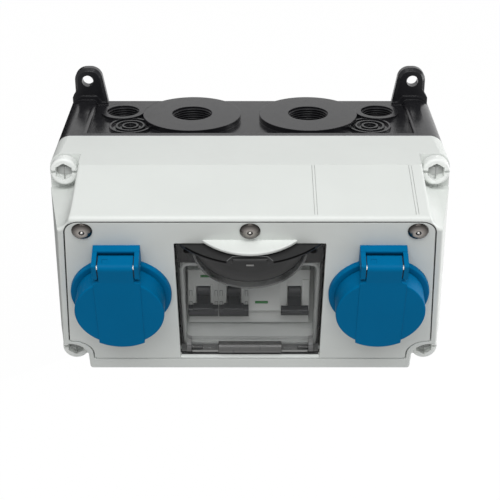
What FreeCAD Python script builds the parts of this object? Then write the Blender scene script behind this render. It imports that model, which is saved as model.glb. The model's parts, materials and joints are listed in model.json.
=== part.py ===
"""Wall-mounted socket unit: two lidded sockets beside a windowed row of protective devices.

The frame has +X to the right, +Y into the wall and +Z up. Its origin is on the wall plane, in the
middle of the four fixing lugs. Depths are measured from the wall towards the user, along -Y.
The front slopes back towards its lower edge, and what it carries is drawn in the plane of that slope.
"""
import FreeCAD, Part
import math
import os
import re

import Sketcher
from FreeCAD import Placement, Rotation, Vector

# Driving dimensions in millimetres and degrees
DIMS = {
    # Box, cover and sloping front
    "cover_width": 225,
    "box_height": 130,
    "corner_radius": 8.6,
    "wall": 3.5,
    "housing_depth": 69.5,
    "fold_depth": 112,
    "fold_drop": 0.75,
    "lip_depth": 113.3,
    "tilt": 20.4,
    "front_length": 125.4,
    "front_round": 2.6,
    "lip_round": 0.8,
    "taper_start": 98.4,
    "taper_angle": 11.2,
    "cover_wall": 3,
    "edge_round": 1.5,
    "lip_corner": 2.5,
    "reach": 90,
    "beyond": 190,
    "overrun": 1,
    # Cover screws and the channels that lead to them
    "screw_x": 103.9,
    "screw_z": 56.3,
    "screw_head_r": 7.85,
    "screw_head_length": 7.4,
    "screw_neck_r": 6.4,
    "screw_gap": 1,
    "screw_hex_r": 5.2,
    "screw_hex_depth": 4.5,
    "screw_slot": 1.7,
    "screw_slot_depth": 2.2,
    "screw_r": 2.5,
    "screw_clearance": 0.05,
    "screw_pass_r": 3,
    "screw_tip_depth": 46,
    "channel_x": 94.7,
    "channel_z": 44.6,
    "channel_round": 10,
    "shelf_depth": 96,
    # Seal between housing and cover
    "seal_inset": 1.2,
    "seal_width": 1.6,
    "seal_depth": 1.6,
    # Rear housing
    "recess_x": 95,
    "recess_drop": 3.35,
    "recess_round": 3,
    "front_collar": 4.3,
    "column_x": 94,
    "column_z": 44.5,
    "disc_x": 35.1,
    "disc_depth": 31.5,
    "disc_r": 29.5,
    "disc_rise": 3.3,
    "large_entry_r": 12.15,
    "large_boss_r": 15.5,
    "boss_x": 77.6,
    "boss_depth": 23.8,
    "boss_rim_r": 13.2,
    "boss_rise": 2,
    "small_entry_r": 9.8,
    "small_boss_r": 12.6,
    "entry_boss": 8,
    "membrane": 1.2,
    "knockout_x": 71.4,
    "knockout_depth": 46.5,
    "knockout_r": 12.6,
    "knockout_step": 3.8,
    "knockout_ridge": 1.3,
    "knockout_rise": 1.3,
    "knockout_hole_r": 3.1,
    "knockout_hole_depth": 2,
    "lug_pitch_x": 201.5,
    "lug_pitch_z": 153.4,
    "lug_r": 8,
    "lug_outer_r": 7.8,
    "lug_inner_r": 7.2,
    "lug_hole_r": 3.5,
    "lug_thick": 6,
    "lug_foot_x": 88.3,
    "lug_foot_z": 60,
    "lug_shoulder_x": 110.6,
    "lug_shoulder_z": 66,
    "lug_shoulder_rise": 3,
    "lug_chamfer": 1.8,
    "lug_step": 1.5,
    "lug_step_z": 67.35,
    "lug_step_r": 7,
    "lug_step_x": 95.2,
    "lug_step_end": 92.3,
    "lug_step_low": 63.3,
    "lug_step_round": 1.2,
    "post_x": 48,
    "post_r": 5.5,
    # Front panel, its seat in the cover and its seal
    "panel_thick": 3.2,
    "panel_bottom": 8.95,
    "panel_top": 122.4,
    "panel_half_top": 97.3,
    "panel_half_low": 104.3,
    "panel_top_round": 8,
    "notch_x": 91.1,
    "notch_top": 24.7,
    "notch_round": 11.3,
    "notch_edge": 1.5,
    "panel_edge": 0.5,
    "rim_gap": 0.6,
    "seat_depth": 4.6,
    "ledge": 2.5,
    "opening_bottom": 11.9,
    "opening_top": 111,
    "opening_side": 4.5,
    "opening_notch": 6,
    "panel_seal_width": 2.4,
    "panel_seal_inset": 1,
    "panel_screw_x": 88.5,
    "panel_screw_s": 116,
    "panel_screw_r": 2,
    "panel_screw_clearance": 0.2,
    "panel_screw_head_r": 5.7,
    "panel_screw_head": 2.9,
    "panel_screw_dome": 2.6,
    "panel_screw_recess_r": 1.7,
    "panel_screw_recess": 1.6,
    "visor_half": 25.4,
    "visor_reach": 10,
    "visor_low": 107.6,
    "visor_high": 109.4,
    "visor_round": 0.7,
    # Window, its grip and its hinge
    "aperture_half": 40.7,
    "aperture_top": 106.7,
    "aperture_round": 1,
    "sill_low": 9.5,
    "sill_high": 10.5,
    "sill_drop": 1.6,
    "window_half": 40.1,
    "window_low": 13.2,
    "window_high": 106.1,
    "window_front": -0.9,
    "window_thick": 2.5,
    "window_round": 1.5,
    "window_rib_inset": 1.6,
    "window_rib": 1.6,
    "window_rib_back": -6.2,
    "window_rib_low": 20.4,
    "window_rib_high": 86,
    "window_rib_round": 4,
    "window_hole_x": 34,
    "window_hole_s": 100,
    "window_hole_r": 1.9,
    "cup_s": 100.7,
    "cup_r": 31.5,
    "cup_wall": 1.3,
    "cup_back": -6.2,
    "cup_floor": 1.2,
    "grip_high": 106,
    "grip_low": 104,
    "grip_chord": 36.8,
    "grip_reach": 14.2,
    "grip_notch_half": 9.5,
    "grip_notch_flare": 1.8,
    "grip_notch_start": 7.5,
    "grip_half": 29.6,
    "grip_mark_half": 3.6,
    "grip_mark_s": 89,
    "grip_mark_high": 1.2,
    "grip_mark_rise": 0.5,
    "hinge_s": 16,
    "hinge_n": -3,
    "barrel_r": 3.3,
    "barrel_half": 18.4,
    "side_bar_r": 2.6,
    "hinge_gap": 0.3,
    "ear_near": 34.2,
    "ear_width": 2.6,
    "ear_notch": 19.9,
    "hinge_pin_r": 1,
    "hinge_pin_near": 27.9,
    "pin_clearance": 0.05,
    # Inner cover around the devices
    "tray_half": 38.6,
    "tray_wall": 1.6,
    "tray_top": 15.1,
    "tray_bottom": -51,
    "tray_back": 101,
    "tray_floor": 2,
    "tray_sill": -40,
    "tray_step_depth": 110.6,
    "tray_step": -50.1,
    "tray_gap": 0.4,
    "tray_rim": 8.6,
    "tray_foot_x": 30,
    "tray_foot_half": 4,
    "tray_foot_high": 5,
    "ear_top": -46.3,
    "ear_low": -51.6,
    "ear_front": 118.77,
    "ear_round": 2.6,
    "ear_under": 113.5,
    # Protective devices on their rail
    "rail_z": -15,
    "rail_depth": 45,
    "rail_height": 7.5,
    "rail_sheet": 1,
    "rail_half": 17.5,
    "rail_hat_half": 13.5,
    "rail_length": 110,
    "rail_screw_r": 1.6,
    "rail_screw_head_r": 3.2,
    "rail_screw_head": 2.2,
    "rail_screw_length": 12,
    "module": 17.5,
    "module_gap": 0.1,
    "modules_left": -35.6,
    "device_half": 42,
    "shoulder_depth": 96,
    "nose_half": 22.5,
    "nose_depth": 107,
    "block_depth": 112,
    "block_low": -12,
    "block_high": 14.5,
    "pivot_depth": 105.3,
    "pivot_drop": -2,
    "toggle_off": 32.5,
    "drum_r": 5.8,
    "drum_half": 3.7,
    "slot_half": 4.1,
    "slot_low": -9.2,
    "slot_high": 4.1,
    "slot_depth": 98,
    "arm_half": 2.3,
    "bar_near": 11.4,
    "bar_far": 15.8,
    "bar_half": 4,
    "bar_side": 8.5,
    "wide_bar_half": 2.8,
    "wide_bar_side": 7.9,
    "bar_round": 1.2,
    "toggle_pin_r": 1,
    "toggle_pin_half": 6.2,
    "button_x": 7,
    "button_rise": 9.5,
    "button_r": 3.03,
    "button_bore_r": 3.1,
    "button_bore_depth": 104,
    "button_back": 107,
    "button_front": 113.6,
    # Supply terminals on the housing's back
    "terminal_half": 24,
    "terminal_low": 32,
    "terminal_high": 47,
    "terminal_depth": 26,
    "terminal_pitch": 12,
    "terminal_wire_r": 2.6,
    "terminal_screw_r": 2.2,
    "terminal_wire_depth": 16,
    # Sockets
    "socket_x": 71.2,
    "socket_s": 68,
    "socket_hole_r": 22.2,
    "collar_r": 27.8,
    "collar_rise": 3,
    "collar_round": 1,
    "tube_r": 22,
    "well_r": 19.75,
    "tube_fit": 0.05,
    "tube_front": 4.5,
    "tube_back": -15,
    "well_floor": -13,
    "insert_back": -30,
    "contact_pitch": 19,
    "contact_r": 3.4,
    "contact_bore_r": 2.5,
    "contact_back": -29,
    "contact_front": -14,
    "clip_half": 2,
    "clip_near": 18.2,
    "clip_thick": 0.8,
    "clip_front": -4,
    "ring_r": 24.5,
    "ring_thick": 3,
    # Socket lids and their hinges
    "bracket_half": 12.55,
    "bracket_arm": 2.6,
    "bracket_low": 93.4,
    "bracket_high": 105.4,
    "bracket_front_high": 104.5,
    "bracket_bar": 3.2,
    "bracket_wall_low": 103.9,
    "bracket_wall": 4.7,
    "bracket_reach": 14.7,
    "bracket_low_round": 1.5,
    "bracket_high_round": 1.2,
    "lid_pin_s": 99.3,
    "lid_pin_n": 10,
    "lid_pin_r": 1.2,
    "lid_pin_bore": 1.26,
    "lid_r": 24.5,
    "lid_tilt": 4.1,
    "lid_back": 3.6,
    "lid_inner": 11.5,
    "lid_top": 20,
    "lid_thick": 2.5,
    "lid_wall": 1.9,
    "lid_round": 0.8,
    "strap_half": 12.6,
    "strap_front": 14.7,
    "strap_rise": 0.3,
    "strap_r": 25.7,
    "strap_high": 93.1,
    "knuckle_half": 9.35,
    "knuckle_r": 4.2,
    "knuckle_back": 5.4,
    "knuckle_edge": 0.8,
    "knuckle_round": 3,
    "knuckle_low": 91.5,
    "knuckle_mark_x": 5.75,
    "knuckle_mark_n": 9.9,
    "knuckle_mark_half": 1.5,
    "knuckle_mark_depth": 0.4,
    "spring_half": 4.3,
    "spring_core_r": 2.2,
    "spring_r": 2.6,
    "spring_pitch": 1.4,
    "spring_turn": 0.9,
    "spring_room_half": 4.6,
    "spring_room_r": 3,
    "gasket_inner_r": 20.6,
    "gasket_low": 4.9,
    "gasket_high": 11,
}

# Counts, and how close two measures have to be to be the same
KNOCKOUT_RINGS = 3
HEX_SIDES = 6
TERMINALS = 4
SPRING_TURNS = 6
CLOSE = 0.02
LEAST_CUT = 1e-6

FRONT = "front"
SIDES = {"left": "-socket_x", "right": "socket_x"}

doc = FreeCAD.newDocument("socket_unit")
sheet = doc.addObject("Spreadsheet::Sheet", "dims")
for row, (alias, number) in enumerate(DIMS.items(), start=1):
    sheet.set(f"A{row}", alias)
    sheet.set(f"B{row}", str(number))
    sheet.setAlias(f"B{row}", alias)
doc.recompute()
pieces = []


# Expressions and sketches

def link(text):
    """Point every dimension named in an expression at its cell in the sheet."""
    def replace(word):
        return f"dims.{word[0]}" if word[0] in DIMS else word[0]
    return re.sub(r"[a-z][a-z0-9_]*", replace, text)


def value(text):
    """Number that an expression has now."""
    return float(sheet.evalExpression(link(text)))


def bind(target, name, text):
    """Tie one property of an object to an expression."""
    target.setExpression(name, link(text))


def bind_to_slope(target, name, height):
    """Lay a placement on the sloping front, its Z axis out of the front and its Y axis up the slope."""
    setattr(target, name, Placement(Vector(), Rotation(Vector(1, 0, 0), 90)))
    bind(target, f"{name}.Base.y", f"-lip_depth - ({height}) * cos(tilt)")
    bind(target, f"{name}.Base.z", f"-box_height / 2 - ({height}) * sin(tilt)")
    bind(target, f"{name}.Rotation.Angle", "90 + tilt")


def circle(x, y, radius):
    """Round outline."""
    return ("circle", x, y, radius)


def rectangle(x0, x1, y0, y1, *radius):
    """Upright rectangle, with rounded corners where a radius is given."""
    return [(x0, y0, *radius), (x1, y0, *radius), (x1, y1, *radius), (x0, y1, *radius)]


def centred(half_x, half_y, *radius):
    """Rectangle about the origin."""
    return rectangle(f"-({half_x})", half_x, f"-({half_y})", half_y, *radius)


def place_point(drawing, geometry, position, x, y):
    """Tie a point of a sketch to its two coordinates."""
    for kind, text in (("DistanceX", x), ("DistanceY", y)):
        rule = Sketcher.Constraint(kind, -1, 1, geometry, position, value(text))
        bind(drawing, f"Constraints[{drawing.addConstraint(rule)}]", text)


def set_radius(drawing, geometry, text):
    """Tie the radius of a sketched arc or circle."""
    rule = Sketcher.Constraint("Radius", geometry, value(text))
    bind(drawing, f"Constraints[{drawing.addConstraint(rule)}]", text)


def draw_circle(drawing, x, y, radius):
    """Add one circle to a sketch."""
    centre = Vector(value(x), value(y), 0)
    geometry = drawing.addGeometry(Part.Circle(centre, Vector(0, 0, 1), value(radius)))
    place_point(drawing, geometry, 3, x, y)
    set_radius(drawing, geometry, radius)


def corner_arc(corner, to_last, to_next, radius):
    """Arc that rounds a corner, the two points where it meets the sides, and whether it runs clockwise."""
    half_angle = to_last.getAngle(to_next) / 2
    run = radius / math.tan(half_angle)
    first = corner + to_last * run
    second = corner + to_next * run
    centre = corner + (to_last + to_next).normalize() * (radius / math.sin(half_angle))
    clockwise = to_last.cross(to_next).z > 0
    ends = (second, first) if clockwise else (first, second)
    angles = [math.atan2(end.y - centre.y, end.x - centre.x) for end in ends]
    ring = Part.Circle(centre, Vector(0, 0, 1), radius)
    return Part.ArcOfCircle(ring, angles[0], angles[1]), first, second, clockwise


def draw_polygon(drawing, corners):
    """Add a closed outline of straight sides, with an arc at each corner that has a radius."""
    count = len(corners)
    points = [Vector(value(corner[0]), value(corner[1]), 0) for corner in corners]
    arcs = {}
    for index, corner in enumerate(corners):
        if len(corner) == 3:
            to_last = (points[index - 1] - points[index]).normalize()
            to_next = (points[(index + 1) % count] - points[index]).normalize()
            arcs[index] = corner_arc(points[index], to_last, to_next, value(corner[2]))
    sides = []
    for index in range(count):
        following = (index + 1) % count
        start = arcs[index][2] if index in arcs else points[index]
        end = arcs[following][1] if following in arcs else points[following]
        sides.append(drawing.addGeometry(Part.LineSegment(start, end)))
    for index, corner in enumerate(corners):
        last_side = sides[index - 1]
        side = sides[index]
        if index not in arcs:
            drawing.addConstraint(Sketcher.Constraint("Coincident", last_side, 2, side, 1))
            place_point(drawing, side, 1, corner[0], corner[1])
            continue
        arc, _, _, clockwise = arcs[index]
        bend = drawing.addGeometry(arc)
        tip = drawing.addGeometry(Part.Point(points[index]), True)
        first_end, second_end = (2, 1) if clockwise else (1, 2)
        drawing.addConstraint(Sketcher.Constraint("Tangent", last_side, 2, bend, first_end))
        drawing.addConstraint(Sketcher.Constraint("Tangent", bend, second_end, side, 1))
        drawing.addConstraint(Sketcher.Constraint("PointOnObject", tip, 1, last_side))
        drawing.addConstraint(Sketcher.Constraint("PointOnObject", tip, 1, side))
        place_point(drawing, tip, 1, corner[0], corner[1])
        set_radius(drawing, bend, corner[2])


def sketch(body, plane, outlines, start):
    """Sketch of one or more outlines on a plane of the body, moved along the plane's normal."""
    drawing = body.newObject("Sketcher::SketchObject", "outline")
    role = "XY_Plane" if plane == FRONT else plane
    support = next(item for item in body.Origin.OriginFeatures if item.Role == role)
    drawing.AttachmentSupport = [(support, "")]
    drawing.MapMode = "FlatFace"
    if plane == FRONT:
        bind_to_slope(drawing, "AttachmentOffset", start)
    else:
        bind(drawing, "AttachmentOffset.Base.z", start)
    for outline in outlines:
        if outline[0] == "circle":
            draw_circle(drawing, *outline[1:])
        else:
            draw_polygon(drawing, outline)
    return drawing


# Features

def new_body(label, on_slope=False):
    """Empty body, in the wall's frame or in the frame of the sloping front."""
    body = doc.addObject("PartDesign::Body", label)
    body.Label = label
    body.AllowCompound = True
    if on_slope:
        bind_to_slope(body, "Placement", "0")
    return body


def new_piece(label, on_slope=False):
    """Body that is a piece of the product."""
    body = new_body(label, on_slope)
    pieces.append(body)
    return body


def pad(body, plane, outlines, start, end):
    """Add material between two distances along a plane's normal."""
    feature = body.newObject("PartDesign::Pad", "pad")
    feature.Profile = sketch(body, plane, outlines, start)
    bind(feature, "Length", f"({end}) - ({start})")


def pocket(body, plane, outlines, start, end):
    """Remove material between two distances along a plane's normal."""
    feature = body.newObject("PartDesign::Pocket", "pocket")
    feature.Profile = sketch(body, plane, outlines, start)
    feature.Reversed = True
    bind(feature, "Length", f"({end}) - ({start})")


def dress(body, kind, size, radius, chosen):
    """Round or chamfer the edges that a test picks from the body's present shape."""
    doc.recompute()
    base = body.Tip
    names = [f"Edge{place}" for place, edge in enumerate(base.Shape.Edges, start=1) if chosen(edge)]
    feature = body.newObject(f"PartDesign::{kind}", kind.lower())
    feature.Base = (base, names)
    bind(feature, size, radius)


def fillet(body, radius, chosen):
    """Round chosen edges."""
    dress(body, "Fillet", "Radius", radius, chosen)


def middle(edge):
    """Point half-way along an edge."""
    return edge.valueAt((edge.FirstParameter + edge.LastParameter) / 2)


def near(number, text):
    """Whether a number has the value of an expression."""
    return abs(number - value(text)) < CLOSE


def mirrored(text):
    """An expression and its opposite."""
    return (text, f"-({text})")


def centred_steps(count):
    """Whole steps on both sides of a middle."""
    return [step - (count - 1) / 2 for step in range(count)]


def from_slope(s, n):
    """Point of a side view in the wall's frame, from its place along and over the sloping front."""
    y = f"-lip_depth - ({s}) * sin(tilt) - ({n}) * cos(tilt)"
    return y, f"-box_height / 2 + ({s}) * cos(tilt) - ({n}) * sin(tilt)"


# Rear housing and its seal

HALF_X = "cover_width / 2"
HALF_Z = "box_height / 2"
FLAT_Z = "box_height / 2 - recess_drop"
CEILING_Z = "box_height / 2 - recess_drop - wall"


def rounded_box(inset):
    """Outline of the box, moved inwards."""
    return centred(f"{HALF_X} - ({inset})", f"{HALF_Z} - ({inset})", f"corner_radius - ({inset})")


def seal_ring():
    """Groove outline that the seal fills."""
    return [rounded_box("seal_inset"), rounded_box("seal_inset + seal_width")]


def screw_places():
    """Centres of the four cover screws."""
    return [(x, z) for x in mirrored("screw_x") for z in mirrored("screw_z")]


def lug_outline(x_sign, z_sign):
    """Fixing lug at one corner: upright outside, slanting inside, round at its end."""
    outer = f"{x_sign} * (lug_pitch_x / 2 + lug_r)"
    inner = f"{x_sign} * (lug_pitch_x / 2 - lug_r)"
    foot = f"{x_sign} * lug_foot_x"
    shoulder = f"{x_sign} * lug_shoulder_x"
    tip = f"{z_sign} * (lug_pitch_z / 2 + lug_r)"
    root = f"{z_sign} * lug_foot_z"
    return [
        (foot, root), (shoulder, root), (shoulder, f"{z_sign} * lug_shoulder_z"),
        (outer, f"{z_sign} * (lug_shoulder_z + lug_shoulder_rise)"),
        (outer, tip, "lug_outer_r"), (inner, tip, "lug_inner_r"),
    ]


def lug_step(x_sign, z_sign):
    """Thicker foot of a fixing lug, which follows the end of the corner column."""
    foot = f"{x_sign} * lug_foot_x"
    shoulder = f"{x_sign} * lug_shoulder_x"
    root = f"{z_sign} * lug_foot_z"
    top = f"{z_sign} * lug_step_z"
    low = f"{z_sign} * lug_step_low"
    return [
        (foot, root), (shoulder, root), (shoulder, top, "lug_step_r"),
        (f"{x_sign} * lug_step_x", top, "lug_step_round"),
        (f"{x_sign} * lug_step_end", low, "lug_step_round"), (foot, low),
    ]


def cable_entries(body):
    """Raised cable entries on the top, each with a boss inside and a thin floor to break out."""
    ceiling = CEILING_Z
    entries = (
        ("disc_x", "disc_depth", "disc_r", "disc_rise", "large_boss_r", "large_entry_r"),
        ("boss_x", "boss_depth", "boss_rim_r", "boss_rise", "small_boss_r", "small_entry_r"),
    )
    for x, depth, rim, rise, boss, bore in entries:
        centres = [(side, f"-{depth}") for side in mirrored(x)]
        pad(body, "XY_Plane", [circle(*c, rim) for c in centres], FLAT_Z, f"{FLAT_Z} + {rise}")
        pad(body, "XY_Plane", [circle(*c, boss) for c in centres], f"{ceiling} - entry_boss", ceiling)
        floor = f"{ceiling} - entry_boss + membrane"
        pocket(body, "XY_Plane", [circle(*c, bore) for c in centres], floor, f"{FLAT_Z} + {rise}")


def knockouts(body):
    """Ridged break-out marks in front of the small entries."""
    for x in mirrored("knockout_x"):
        for step in range(KNOCKOUT_RINGS):
            outer = f"knockout_r - {step} * knockout_step"
            radii = (outer, f"{outer} - knockout_ridge")
            ring = [circle(x, "-knockout_depth", radius) for radius in radii]
            pad(body, "XY_Plane", ring, FLAT_Z, f"{FLAT_Z} + knockout_rise")
        hole = circle(x, "-knockout_depth", "knockout_hole_r")
        pocket(body, "XY_Plane", [hole], f"{FLAT_Z} - knockout_hole_depth", FLAT_Z)


def make_rear_housing():
    """Black back box with corner columns, recessed top and bottom, cable entries and fixing lugs."""
    body = new_piece("rear_housing")
    pad(body, "XZ_Plane", [rounded_box("0")], "0", "housing_depth")
    side = "cover_width / 2 - wall"
    cavity = []
    for x, z in ((1, 1), (-1, 1), (-1, -1), (1, -1)):
        steps = [(side, "column_z"), ("column_x", "column_z"), ("column_x", CEILING_Z)]
        ordered = steps if x * z > 0 else steps[::-1]
        cavity += [(f"{x} * ({px})", f"{z} * ({pz})") for px, pz in ordered]
    pocket(body, "XZ_Plane", [cavity], "wall", "housing_depth")
    for sign in (1, -1):
        gap = rectangle("-recess_x", "recess_x", f"{sign} * ({FLAT_Z})", f"{sign} * {HALF_Z}")
        pocket(body, "XZ_Plane", [gap], "0", "housing_depth - front_collar")
    fillet(body, "recess_round", is_column_edge)
    cable_entries(body)
    knockouts(body)
    signs = [(x, z) for x in (1, -1) for z in (1, -1)]
    pad(body, "XZ_Plane", [lug_outline(x, z) for x, z in signs], "0", "lug_thick")
    pad(body, "XZ_Plane", [lug_step(x, z) for x, z in signs], "lug_thick", "lug_thick + lug_step")
    holes = [circle(f"{x} * lug_pitch_x / 2", f"{z} * lug_pitch_z / 2", "lug_hole_r") for x, z in signs]
    pocket(body, "XZ_Plane", holes, "0", "lug_thick")
    posts = [circle(x, "rail_z", "post_r") for x in mirrored("post_x")]
    pad(body, "XZ_Plane", posts, "wall", "rail_depth")
    bores = [circle(x, "rail_z", "rail_screw_r + screw_clearance") for x in mirrored("post_x")]
    pocket(body, "XZ_Plane", bores, "rail_depth + rail_sheet - rail_screw_length - overrun", "rail_depth")
    threads = [circle(x, z, "screw_r + screw_clearance") for x, z in screw_places()]
    pocket(body, "XZ_Plane", threads, "screw_tip_depth - overrun", "housing_depth")
    pocket(body, "XZ_Plane", seal_ring(), "housing_depth - seal_depth", "housing_depth")
    dress(body, "Chamfer", "Size", "lug_chamfer", is_lug_end)


def is_column_edge(edge):
    """Long inner edge of a corner column."""
    point = middle(edge)
    half_way = near(point.y, "(front_collar - housing_depth) / 2")
    return half_way and near(abs(point.x), "recess_x") and near(abs(point.z), HALF_Z)


def is_lug_end(edge):
    """Front edge round the end of a fixing lug."""
    point = middle(edge)
    beyond_hole = abs(point.z) > value("lug_pitch_z / 2 + lug_hole_r + overrun")
    return near(point.y, "-lug_thick") and beyond_hole and near(edge.BoundBox.YLength, "0")


def make_cover_seal():
    """Rubber ring in the groove of the housing's front edge."""
    body = new_piece("cover_seal")
    pad(body, "XZ_Plane", seal_ring(), "housing_depth - seal_depth", "housing_depth")


# Front cover

def side_view(top, drop, s_top, s_low, height, bottom, *rounds):
    """Outline of the hood seen from the right, its front plane at a height over the slope."""
    low_y = from_slope(s_low, height)[0]
    return [
        ("-housing_depth", bottom),
        (low_y, bottom, *rounds[1:]),
        (*from_slope(s_top, height), *rounds[:1]),
        ("-fold_depth", f"{top} - {drop}"),
        ("-housing_depth", top),
    ]


def channel_outline(x_sign, z_sign, grow):
    """Corner region that is cleared in front of one cover screw."""
    x = f"{x_sign} * (channel_x - ({grow}))"
    z = f"{z_sign} * (channel_z - ({grow}))"
    far_x = f"{x_sign} * beyond"
    far_z = f"{z_sign} * reach"
    return [(x, far_z), (x, z, f"channel_round + ({grow})"), (far_x, z), (far_x, far_z)]


def lip_corner_outline(x_sign):
    """What is cut off to round one end of the lower lip."""
    inner, edge, outer = (f"{x_sign} * (channel_x + ({run}))" for run in ("-2 * lip_corner", "0", "overrun"))
    below = f"-{HALF_Z} - overrun"
    above = f"2 * lip_corner - {HALF_Z}"
    inside = [(inner, below), (inner, f"-{HALF_Z}"), (edge, f"-{HALF_Z}", "lip_corner"), (edge, above)]
    return inside + [(outer, above), (outer, below)]


def hood(body, grow, profile):
    """Hollowed or outer form of the cover: side view, rounded flange, tapering sides, corner channels."""
    pad(body, "YZ_Plane", [profile], f"{grow} - {HALF_X}", f"{HALF_X} - {grow}")
    around = [centred("beyond", "reach"), rounded_box(grow)]
    pocket(body, "XZ_Plane", around, "housing_depth", "beyond")
    tapers = []
    for sign in (1, -1):
        near_x = f"{sign} * ({HALF_X} - {grow})"
        far_x = f"{sign} * ({HALF_X} - {grow} - (beyond - taper_start) * tan(taper_angle))"
        edge_x = f"{sign} * beyond"
        rear = [(near_x, "-taper_start"), (edge_x, "-taper_start")]
        tapers.append(rear + [(edge_x, "-beyond"), (far_x, "-beyond")])
    pocket(body, "XY_Plane", tapers, "-reach", "reach")
    corners = [channel_outline(x, z, grow) for x in (1, -1) for z in (1, -1)]
    pocket(body, "XZ_Plane", corners, f"shelf_depth - {grow}", "beyond")


def panel_outline(grow):
    """Outline of the front panel: tapering sides and a round notch at each lower corner."""
    low = f"panel_bottom - ({grow})"
    right = [
        (f"notch_x + ({grow})", low, "notch_edge"),
        (f"notch_x + ({grow})", f"notch_top - ({grow})", f"notch_round - ({grow})"),
        (f"panel_half_low + ({grow})", f"notch_top - ({grow})", "notch_edge"),
        (f"panel_half_top + ({grow})", f"panel_top + ({grow})", f"panel_top_round + ({grow})"),
    ]
    return right + [(f"-({corner[0]})", *corner[1:]) for corner in right[::-1]]


def panel_screw_places():
    """Centres of the three panel screws on the slope."""
    return [(x, "panel_screw_s") for x in ("-panel_screw_x", "0", "panel_screw_x")]


def make_front_cover():
    """Light grey hood with a sloping front, a seat for the panel and four screw channels."""
    outer = new_body("cover_form")
    rounds = ("front_round", "lip_round")
    hood(outer, "0", side_view(HALF_Z, "fold_drop", "front_length", "0", "0", f"-{HALF_Z}", *rounds))
    fillet(outer, "edge_round", is_front_rim)
    pocket(outer, "XZ_Plane", [lip_corner_outline(sign) for sign in (1, -1)], "shelf_depth", "beyond")
    pocket(outer, FRONT, [panel_outline("rim_gap")], "-seat_depth", "seat_depth")
    passes = [circle(x, z, "screw_pass_r") for x, z in screw_places()]
    pocket(outer, "XZ_Plane", passes, "shelf_depth - 2 * cover_wall", "shelf_depth")
    opening = [
        ("notch_x - opening_notch", "opening_bottom"),
        ("notch_x - opening_notch", "notch_top + opening_notch"),
        ("panel_half_low - opening_side", "notch_top + opening_notch"),
        ("panel_half_top - opening_side", "opening_top"),
    ]
    opening += [(f"-({x})", s) for x, s in opening[::-1]]
    pocket(outer, FRONT, [opening], "-2 * seat_depth - ledge", "-seat_depth")
    threads = [circle(x, s, "panel_screw_r + screw_clearance") for x, s in panel_screw_places()]
    pocket(outer, FRONT, threads, "-2 * seat_depth - ledge", "-seat_depth")
    inner = new_body("cover_hollow")
    inner_top = f"{HALF_Z} - cover_wall"
    inner_depth = "-seat_depth - ledge"
    hood(inner, "cover_wall", side_view(inner_top, "fold_drop", "front_length - cover_wall - edge_round / 2",
                                        "0", inner_depth, f"cover_wall - {HALF_Z}"))
    cover = doc.addObject("Part::Cut", "front_cover")
    cover.Base = outer
    cover.Tool = inner
    pieces.append(cover)


def is_front_rim(edge):
    """Edge of the cover that lies in the plane of the sloping front."""
    angle = math.radians(DIMS["tilt"])
    for point in (edge.Vertexes[0].Point, middle(edge), edge.Vertexes[-1].Point):
        depth = -point.y - DIMS["lip_depth"]
        height = point.z + DIMS["box_height"] / 2
        if abs(depth * math.cos(angle) - height * math.sin(angle)) > CLOSE:
            return False
    return abs(middle(edge).x) > value("channel_x - overrun")


def make_cover_screws():
    """Four plastic cover screws with a hexagonal recess and a slot."""
    body = new_piece("cover_screws")
    back = "shelf_depth + screw_gap"
    front = "shelf_depth + screw_head_length"
    pad(body, "XZ_Plane", [circle(x, z, "screw_head_r") for x, z in screw_places()], back, front)
    fillet(body, "edge_round", lambda edge: near(edge.CenterOfMass.y, f"-({front})"))
    pad(body, "XZ_Plane", [circle(x, z, "screw_neck_r") for x, z in screw_places()], "shelf_depth", back)
    shanks = [circle(x, z, "screw_r") for x, z in screw_places()]
    pad(body, "XZ_Plane", shanks, "screw_tip_depth", "shelf_depth")
    hexes = []
    slots = []
    turns = [180 / HEX_SIDES * (2 * side + 1) for side in range(HEX_SIDES)]
    for x, z in screw_places():
        corners = [(f"{x} + screw_hex_r * cos({turn})", f"{z} + screw_hex_r * sin({turn})") for turn in turns]
        hexes.append(corners)
        ends = (f"{x} - screw_head_r - overrun", f"{x} + screw_head_r + overrun")
        slots.append(rectangle(*ends, f"{z} - screw_slot / 2", f"{z} + screw_slot / 2"))
    pocket(body, "XZ_Plane", hexes, f"{front} - screw_hex_depth", front)
    pocket(body, "XZ_Plane", slots, f"{front} - screw_slot_depth", front)


# Front panel

def half_moon(half, reach, root):
    """Segment of a disc over the plane of the front: half its chord, its height and its depth below."""
    slope = f"(2 * {reach} * {half} / ({half} ^ 2 - {reach} ^ 2))"
    foot = f"{half} + ({root}) / {slope}"
    radius = f"({half} ^ 2 + {reach} ^ 2) / (2 * {reach})"
    return [(f"-({foot})", f"-({root})"), (foot, f"-({root})"), ("0", f"{half} * {slope}", radius)]


def make_front_panel():
    """Grey panel with a half-round visor over the window and a round hole for each socket."""
    body = new_piece("front_panel", on_slope=True)
    pad(body, "XY_Plane", [panel_outline("0")], "-panel_thick", "0")
    fillet(body, "panel_edge", lambda edge: near(edge.BoundBox.ZMin, "0"))
    sides = rectangle("-aperture_half", "aperture_half", "sill_high", "aperture_top", "aperture_round")
    pocket(body, "XY_Plane", [sides], "-panel_thick", "0")
    sill = [("sill_low", "0"), ("sill_high", "-sill_drop"), ("sill_high + overrun", "0")]
    pocket(body, "YZ_Plane", [sill], "-aperture_half", "aperture_half")
    holes = [circle(x, "socket_s", "socket_hole_r") for x in SIDES.values()]
    holes += [circle(x, s, "panel_screw_r + panel_screw_clearance") for x, s in panel_screw_places()]
    pocket(body, "XY_Plane", holes, "-panel_thick", "0")
    visor = half_moon("visor_half", "visor_reach", "panel_thick / 2")
    pad(body, "XZ_Plane", [visor], "-visor_high", "-visor_low")
    fillet(body, "visor_round", is_visor_edge)


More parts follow.
